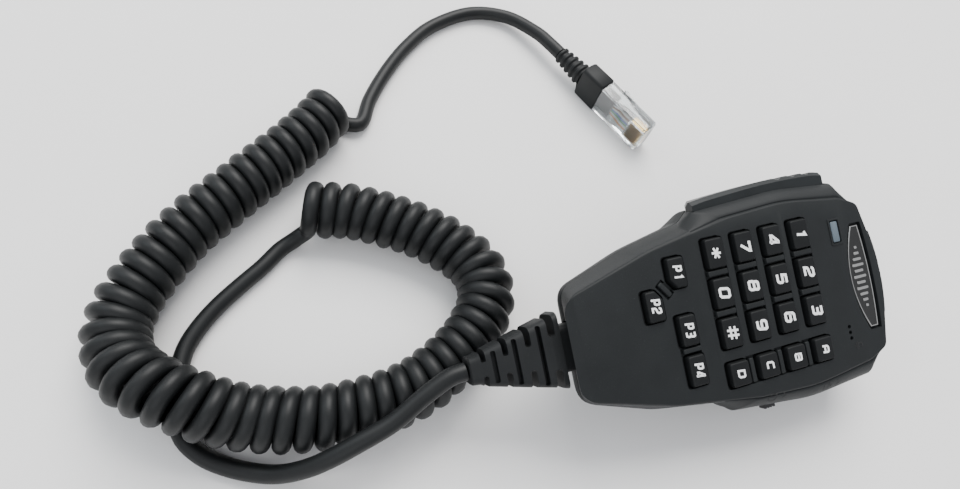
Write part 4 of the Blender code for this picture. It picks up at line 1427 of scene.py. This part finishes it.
@dataclass
class Plug:
    """The ribbed boot and the clear modular plug with its contacts, wires and latch."""

    neck: float = 12.4
    boot_length: float = 22.8
    boot_size: Point2 = (13.0, 7.0)
    length: float = 22.0
    size: Point2 = (11.7, 6.5)
    latch_pivot: Point2 = (42.6, -3.9)
    ways: int = 8
    way_pitch: float = 1.02
    ribs: int = 5

    @property
    def start(self) -> float:
        """Return where the clear body starts."""
        return self.boot_length + 0.3

    def ring(self, x: float, size: Point2, corner: float) -> Ring:
        """Return one section across the plug."""
        return [(x, py, pz) for py, pz in rectangle((0.0, 0.0), size, corner, 6)]

    def make_boot(self) -> bpy.types.Object:
        """Build the boot: a ribbed neck and a square shroud."""
        rings = []
        step = self.neck / self.ribs
        for index in range(self.ribs):
            start, radius = step * index, 2.9 + 0.22 * index
            for shift, inset in ((0.0, 0.45), (0.15, 0.12), (0.4, 0.0), (1.0, 0.0), (1.25, 0.12), (1.4, 0.5),
                                 (1.55, 0.6), (step - 0.15, 0.6), (step - 0.02, 0.5)):
                width = 2 * (radius - inset)
                rings.append(self.ring(start + shift, (width, width), radius))
        rings.append(self.ring(self.neck, (7.6, 6.2), 2.6))
        for shift, inset in ((0.3, 0.9), (0.7, 0.3), (1.2, 0.0)):
            size = (self.boot_size[0] - 2 * inset, self.boot_size[1] - 2 * inset)
            rings.append(self.ring(self.neck + shift, size, 1.6))
        rings.append(self.ring(self.boot_length - 0.4, self.boot_size, 1.2))
        rings.append(self.ring(self.boot_length, grown(self.boot_size, -0.3), 1.0))
        return Piece("boot_sleeve", Form().loft(rings), Finish.RUBBER, place=PLUG_PLACE, smooth_angle=50.0,
                     replaces=("plug_boot",)).make()

    def make_body(self) -> bpy.types.Object:
        """Build the clear body, hollow from the cord end, with a slot over each contact."""
        end = self.start + self.length
        outside = [self.ring(self.start, self.size, 0.35), self.ring(end - 0.7, self.size, 0.35),
                   self.ring(end, grown(self.size, -0.5), 0.35)]
        hollow = [self.ring(self.start - 1.0, (10.0, 5.0), 0.4), self.ring(self.start + 9.0, (9.6, 4.8), 0.4),
                  self.ring(self.start + 11.5, (9.0, 2.2), 0.4), self.ring(end - 1.4, (9.0, 1.6), 0.4)]
        slots = Form()
        for way in range(self.ways):
            y = (way - (self.ways - 1) / 2) * self.way_pitch
            slots.block((end - 7.2, end + 1.0), (y - 0.26, y + 0.26), (1.5, 4.0))
        return Piece("clear_body", Form().loft(outside), Finish.CRYSTAL, place=PLUG_PLACE,
                     cuts=(Form().loft(hollow), slots), replaces=("plug_body",), smooth_angle=25.0).make()

    def make_inside(self) -> list[bpy.types.Object]:
        """Build the gold contacts, the wires and the end of the cord's jacket."""
        end = self.start + self.length
        contacts = Form()
        for way in range(self.ways):
            y = (way - (self.ways - 1) / 2) * self.way_pitch
            profile = (
                (end - 6.6, -0.6), (end - 1.5, -0.6), (end - 1.0, 1.2), (end - 1.3, 2.7), (end - 2.2, 2.95),
                (end - 6.0, 2.95), (end - 6.6, 2.5),
            )
            contacts.loft([[(px, side, pz) for px, pz in profile] for side in (y - 0.17, y + 0.17)])
        made = [Piece("plug_contacts", contacts, Finish.GOLD, place=PLUG_PLACE, smooth_angle=20.0).make()]
        jacket = [self.ring(self.start - 0.2, (8.6, 4.2), 1.6), self.ring(self.start + 5.8, (8.6, 4.2), 1.6),
                  self.ring(self.start + 6.1, (8.0, 3.6), 1.4)]
        made.append(Piece("jacket_end", Form().loft(jacket), Finish.VINYL, place=PLUG_PLACE).make())
        colours = (Finish.WIRE_A, Finish.WHITE, Finish.WIRE_C, Finish.WIRE_B, Finish.WHITE, Finish.WIRE_D,
                   Finish.WHITE, Finish.BLACK)
        for way, colour in enumerate(colours):
            y = (way - (self.ways - 1) / 2) * self.way_pitch
            spots = (
                (self.start + 6.0, y * 0.7, 0.6), (self.start + 8.5, y * 0.9, 0.4),
                (self.start + 11.0, y, 0.0), (end - 2.4, y, 0.0),
            )
            line = smooth_line(spots, 5)
            made.append(Piece(f"plug_wire_{way + 1}", tube(line, 0.42, 10), colour, place=PLUG_PLACE).make())
        return made

    def make_latch(self) -> None:
        """Build the sprung latch."""
        px = self.latch_pivot[0]
        outline = ((px + 0.8, -3.6), (px + 0.8, -4.3), (31.0, -6.7), (27.6, -7.4), (27.0, -6.9), (30.5, -6.0),
                   (40.0, -3.9))
        rings = []
        for y in (-2.9, 2.9):
            rings.append([(qx, y, qz) for qx, qz in outline])
        Piece("latch_tongue", Form().loft(rings), Finish.CRYSTAL, body="plug_latch", place=PLUG_PLACE,
              edge=0.12,
              replaces=("plug_latch",), smooth_angle=25.0).make()


# --- Cord ---------------------------------------------------------------------------------------


@dataclass
class Cord:
    """The whole cord: the lead, the curly stretch and the plug's lead."""

    diameter: float = 4.9
    coil_radius: float = 8.7
    lift: float = 5.6
    lift_at: Point2 = (-15.17, -152.65)
    lift_reach: float = 27.0
    start_turn: float = -20.0
    end_turn: float = -60.0
    snugness: float = 1.0
    lead: tuple[tuple[float, float, float], ...] = (
        (0.43, -79.6, 22.2), (0.93, -84.15, 21.9), (3.73, -91.65, 20.2), (7.53, -100.15, 18.2),
        (9.93, -109.65, 16.3), (11.23, -117.15, 13.2), (11.33, -123.65, 9.0), (9.93, -130.65, 4.6),
        (6.93, -137.65, 2.6), (3.33, -143.65, 2.4), (-0.67, -148.15, 2.4), (-6.27, -151.55, 2.4),
        (-14.37, -152.35, 2.4), (-22.27, -150.55, 2.4), (-28.87, -148.05, 2.4), (-34.07, -144.15, 2.4),
        (-39.27, -138.55, 2.4), (-44.07, -131.85, 2.4), (-48.87, -124.55, 2.4), (-53.27, -118.95, 2.4),
    )
    coil: tuple[Point2, ...] = (
        (-61.67, -108.65), (-58.97, -97.15), (-54.07, -87.15), (-47.67, -77.15), (-39.67, -68.65),
        (-31.17, -63.45), (-21.67, -64.15), (-12.17, -71.65), (-5.57, -81.75), (-1.37, -91.75),
        (0.13, -102.75), (0.13, -113.95), (-1.67, -124.45), (-5.87, -137.15), (-11.17, -147.15),
        (-17.97, -155.95), (-25.27, -161.35), (-33.77, -162.75), (-40.87, -160.75), (-49.17, -155.05),
        (-61.37, -143.15), (-72.77, -127.05), (-84.67, -109.55), (-91.27, -100.95), (-98.07, -93.85),
    )
    plug_lead: tuple[tuple[float, float, float], ...] = (
        (-103.97, -79.85, 2.4), (-115.27, -71.25, 2.4), (-125.47, -61.25, 2.4), (-133.97, -49.15, 2.4),
        (-138.57, -32.75, 2.5), (-134.07, -19.15, 3.6), (-123.47, -11.05, 5.6), (-116.67, -7.95, 6.4),
        (-110.97, -5.45, 6.55),
    )

    def middle_line(self) -> list[Vector]:
        """Return the coil's middle line, raised where the lead passes under it."""
        flat = even_line(smooth_line([(*point, 0.0) for point in self.coil], 16), 0.5)
        raised = []
        for point in flat:
            away = (point.xy - Vector(self.lift_at)).length / self.lift_reach
            hump = math.cos(min(1.0, away) * math.pi / 2) ** 2
            raised.append(Vector((point.x, point.y, self.coil_radius + self.lift * hump)))
        return raised

    def frames(self, line: Sequence[Vector]) -> list[tuple[Vector, Vector, Vector]]:
        """Return the directions along, to the right of and above each point of a line.

        Args:
            line: The middle line.

        Returns:
            Three directions for each point.
        """
        frames = []
        for index in range(len(line)):
            ahead = (line[min(index + 3, len(line) - 1)] - line[max(index - 3, 0)]).normalized()
            right = ahead.cross(Vector((0.0, 0.0, 1.0))).normalized()
            frames.append((ahead, right, right.cross(ahead)))
        return frames

    def turning(self, line: Sequence[Vector]) -> list[float]:
        """Return the helix's angle at each point, so that its turns lie side by side.

        Args:
            line: The middle line.

        Returns:
            Angles in radians.
        """
        rates = []
        for index in range(len(line)):
            pitch = self.diameter * self.snugness
            pitch *= 1 + 0.03 * math.sin(0.31 * index) * math.sin(0.047 * index)
            rates.append(math.tau / pitch)
        angles = [0.0]
        for index in range(1, len(line)):
            angles.append(angles[-1] + rates[index] * (line[index] - line[index - 1]).length)
        part = math.radians(self.end_turn - self.start_turn)
        turns = round((angles[-1] - part) / math.tau)
        scale = (turns * math.tau + part) / angles[-1]
        LOG.info("curly stretch: %d turns", turns)
        return [math.radians(self.start_turn) + angle * scale for angle in angles]

    def path(self) -> list[Vector]:
        """Return the cord's whole middle line, from the strain relief to the plug's boot."""
        line = self.middle_line()
        frames = self.frames(line)
        angles = self.turning(line)
        radius = self.coil_radius - self.diameter / 2
        helix = []
        step = math.tau / 20
        target = angles[0]
        for index in range(1, len(line)):
            while target <= angles[index]:
                share = (target - angles[index - 1]) / (angles[index] - angles[index - 1])
                centre = line[index - 1].lerp(line[index], share)
                _, right, above = frames[index]
                size = radius * (1 + 0.012 * math.sin(0.37 * target) * math.cos(0.11 * target))
                helix.append(centre + right * (size * math.cos(target)) + above * (size * math.sin(target)))
                target += step
        lead = smooth_line([*self.lead, *self._joining(line, frames, 0), helix[0], helix[1]], 6)[:-6]
        tail = smooth_line([helix[-2], helix[-1], *self._joining(line, frames, -1), *self.plug_lead], 6)[7:]
        return [*even_line(lead, 1.6)[:-1], *helix, *even_line([helix[-1], *tail], 1.6)[1:]]

    def _joining(
        self, line: Sequence[Vector], frames: Sequence[tuple[Vector, Vector, Vector]], end: int
    ) -> list[Vector]:
        """Return the points that lead the cord into or out of the coil.

        Args:
            line: The coil's middle line.
            frames: The directions at each of its points.
            end: 0 for the coil's start, -1 for its end.

        Returns:
            The points, in the cord's order.
        """
        ahead, right, _ = frames[end]
        floor = Vector((line[end].x, line[end].y, 0.0))
        spots = ((7.8, -4.6, 3.1),) if end == 0 else ((7.4, 1.6, 3.0), (8.6, 5.0, 2.6))
        points = []
        for side, along, rise in spots:
            points.append(floor + right * side + ahead * along + Vector((0.0, 0.0, rise)))
        return points

    def make(self, plug_pieces: Sequence[bpy.types.Object], relief: bpy.types.Object) -> None:
        """Args:
            plug_pieces: The pieces on its far end.
            relief: The strain relief that it leaves by; not used.
        """
        path = self.path()
        length = sum((after - here).length for here, after in zip(path, path[1:]))
        piece = Piece(
            "curly_cord", tube(path, self.diameter / 2, 14), Finish.VINYL, place=Matrix.Scale(MM, 4),
            replaces=("cord_lead", "cord_coil", "cord_plug_lead"), smooth_angle=60.0,
        )
        cord = piece.make()
        tuple(Vector(self.lead[0]) * MM)
        [tuple(point * MM) for point in path]
        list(plug_pieces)
        LOG.info("cord: %.0f mm", length)


# --- Everything else ----------------------------------------------------------------------------


@dataclass
class Hanger:
    """The hanger button on the back, with a bore for its screw."""

    at: Point2 = (0.0, 8.0)
    end: float = -32.2
    rear: float = -25.2

    def make(self) -> None:
        """Build the button with rounded rims."""
        end, rear = self.end, self.rear
        sections = (
            (4.2, end), (4.7, end + 0.05), (5.2, end + 0.3), (5.5, end + 0.8), (5.5, end + 1.6),
            (5.3, end + 1.95), (4.8, end + 2.15), (3.9, end + 2.6), (3.6, end + 3.2), (3.6, rear - 1.8),
            (3.9, rear - 1.2), (4.8, rear - 0.6), (5.2, rear - 0.3),
        )
        bore = Form().turned(self.at, ((1.8, end + 2.0), (1.8, rear + 2.0)), 24)
        Piece("hanger_stud", Form().turned(self.at, sections, 48), Finish.BLACK, cuts=(bore,),
              replaces=("hanger_button",)).make()


@dataclass
class Marks:
    """The small moulded signs beside the controls, laid on the shell's own surface and darkened with painted
    shade.
    """

    def make(self, shell: bpy.types.Object) -> None:
        """Lay the lamp, lock and microphone signs on the face shell, darkened with painted shade.

        Args:
            shell: The face shell.
        """
        mesh = shell.data.copy()
        mesh.transform(CASE_PLACE.inverted())
        work = bmesh.new()
        work.from_mesh(mesh)
        surface = BVHTree.FromBMesh(work)
        form = Form()
        pen = Lettering(0.42, 0.0, 0.06)
        signs = self._lamp((26.9, -5.0)) + self._lock((28.3, 14.6)) + self._microphone((19.2, 27.6))
        for stroke in signs:
            fine = [(point.x, point.y) for point in even_line([Vector((*p, 0.0)) for p in stroke], 0.5)]
            pen.ribbon(form, fine, 0.0)
        for vertex in form.work.verts:
            hit, _, _, _ = surface.ray_cast(Vector((vertex.co.x, vertex.co.y, 5.0)), Vector((0.0, 0.0, -1.0)))
            if hit is not None:
                vertex.co.z += hit.z
        work.free()
        # The signs' darker colour is painted shade, not a colour of their own.
        Piece("moulded_signs", form, Finish.DARK, smooth_angle=20.0).make()

    def _arc(self, centre: Point2, radius: float, start: float, end: float, steps: int = 10) -> Stroke:
        """Return an arc between two angles in degrees."""
        turns = [math.radians(start + (end - start) * step / steps) for step in range(steps + 1)]
        return tuple((centre[0] + radius * math.cos(a), centre[1] + radius * math.sin(a)) for a in turns)

    def _arrow(self, at: Point2) -> list[Stroke]:
        """Return an arrowhead that points along the edge."""
        return [((at[0] - 0.8, at[1] - 0.7), (at[0], at[1] + 0.7), (at[0] + 0.8, at[1] - 0.7))]

    def _lamp(self, at: Point2) -> list[Stroke]:
        """Return a lamp bulb and an arrow."""
        bulb = self._arc((at[0], at[1]), 1.25, -50.0, 230.0)
        cap = ((at[0] - 0.6, at[1] - 1.5), (at[0] + 0.6, at[1] - 1.5))
        return [bulb, cap, *self._arrow((at[0], at[1] + 4.0))]

    def _lock(self, at: Point2) -> list[Stroke]:
        """Return a padlock and an arrow."""
        x, y = at
        low, high = y - 1.2, y + 0.5
        body = ((x - 1.2, low), (x + 1.2, low), (x + 1.2, high), (x - 1.2, high), (x - 1.2, low))
        shackle = self._arc((x, y + 0.7), 0.8, 0.0, 180.0)
        return [body, shackle, *self._arrow((x, y + 4.2))]

    def _microphone(self, at: Point2) -> list[Stroke]:
        """Return a microphone capsule on a stand."""
        x, y = at
        head = self._arc((x, y + 0.5), 0.55, 0.0, 180.0) + self._arc((x, y - 0.1), 0.55, 180.0, 360.0)
        cradle = self._arc((x, y), 1.2, 200.0, 340.0)
        return [head, cradle, ((x, y - 1.2), (x, y - 2.0))]


@dataclass
class Insides:
    """Everything under the shells that the frame already shapes, dressed in its finish."""

    finishes: dict[str, Finish] = field(default_factory=lambda: {
        "steel": Finish.STEEL, "board_green": Finish.BOARD, "white_plastic": Finish.WHITE,
        "black_plastic": Finish.BLACK, "black_rubber": Finish.RUBBER, "key_rubber": Finish.KEY,
        "charcoal_plastic": Finish.SHELL, "cord_vinyl": Finish.VINYL, "clear_plastic": Finish.CRYSTAL,
        "window_plastic": Finish.WINDOW, "plate_plastic": Finish.PLATE,
    })

    def dress(self) -> None:
        """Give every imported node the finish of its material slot."""
        for part in frame["record"]["subparts"]:
            node = frame["nodes"][part["node"]]
            finish = self.finishes[part["material_slot"]]
            for slot in node.material_slots:
                slot.material = finish.coat()
            LOG.info("%s: %s", part["node"], finish.value.name)


@dataclass
class Studio:
    """The tabletop, the soft lights and the camera."""

    eye: tuple[float, float, float] = (0.03603, -0.11895, 0.18565)
    turn: tuple[tuple[float, float, float], ...] = (
        (0.2917, -0.87939, 0.37627), (0.93833, 0.18676, -0.29095), (0.18559, 0.43794, 0.87964),
    )
    lens: float = 24.4
    sensor: float = 36.0

    def make(self) -> None:
        """Build the studio."""
        self._table()
        self._light("key_light", (-0.75, 0.25, 1.0), 0.9, 25.0, (1.0, 0.99, 0.97))
        self._light("fill_light", (0.7, -0.7, 0.9), 1.1, 5.0, (0.96, 0.98, 1.0))
        self._light("rim_light", (-0.5, -0.6, 0.6), 0.5, 2.0, (0.85, 0.95, 1.0))
        world = bpy.data.worlds.new("soft_room")
        world.use_nodes = True
        sky = world.node_tree.nodes["Background"]
        sky.inputs["Color"].default_value = (0.93, 0.95, 1.0, 1.0)
        sky.inputs["Strength"].default_value = 0.85
        bpy.context.scene.world = world
        camera_data = bpy.data.cameras.new("camera")
        camera_data.lens = self.lens
        camera_data.sensor_width = self.sensor
        camera_data.clip_start = 0.01
        camera = bpy.data.objects.new("camera", camera_data)
        camera.matrix_world = Matrix.Translation(self.eye) @ Matrix(self.turn).to_4x4()
        bpy.context.collection.objects.link(camera)
        bpy.context.scene.camera = camera

    def _table(self) -> None:
        """Build the tabletop."""
        mesh = Form().prism(rectangle((0.0, 0.0), (3000.0, 3000.0), 50.0), -20.0, 0.0).mesh("tabletop")
        mesh.transform(Matrix.Scale(MM, 4))
        mesh.materials.append(Finish.TABLE.coat())
        table = bpy.data.objects.new("tabletop", mesh)
        bpy.context.collection.objects.link(table)
        table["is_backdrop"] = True

    def _light(
        self, name: str, at: tuple[float, float, float], size: float, power: float, colour: Colour
    ) -> None:
        """Add a soft square light aimed at the microphone.

        Args:
            name: Its name.
            at: Its place in metres.
            size: Its side in metres.
            power: Its power in watts.
            colour: Its colour.
        """
        data = bpy.data.lights.new(name, "AREA")
        data.size = size
        data.energy = power
        data.color = colour
        light = bpy.data.objects.new(name, data)
        light.location = at
        light.rotation_euler = (Vector((-0.04, -0.04, 0.0)) - Vector(at)).to_track_quat("-Z", "Y").to_euler()
        bpy.context.collection.objects.link(light)


def main() -> None:
    """Build the microphone, piece by piece, and take its bounding boxes before and after."""
    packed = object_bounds()
    Studio().make()
    Insides().dress()
    plug = Plug()
    boot = plug.make_boot()
    plug_pieces = [boot, plug.make_body(), *plug.make_inside()]
    relief = StrainRelief().make()
    Cord().make([*plug_pieces, frame["nodes"]["plug_latch"]], relief)
    plug.make_latch()
    pad, bar, ends, sliders = Keypad(), PushBar(), EndKeys(), Sliders()
    case = Case()
    shell = case.make_front(pad, bar, ends, sliders)
    case.make_back(bar)
    pad.make_keys()
    pad.make_bars()
    pad.make_window()
    pad.make_badge()
    bar.make()
    ends.make()
    sliders.make()
    Hanger().make()
    Marks().make(shell)
    boxes = {"packed": packed, "visual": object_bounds()}
    plain = {label: [[float(value) for value in corner] for corner in box] for label, box in boxes.items()}


if __name__ == "__main__":
    logging.basicConfig(level=logging.INFO, format="%(message)s")
    main()
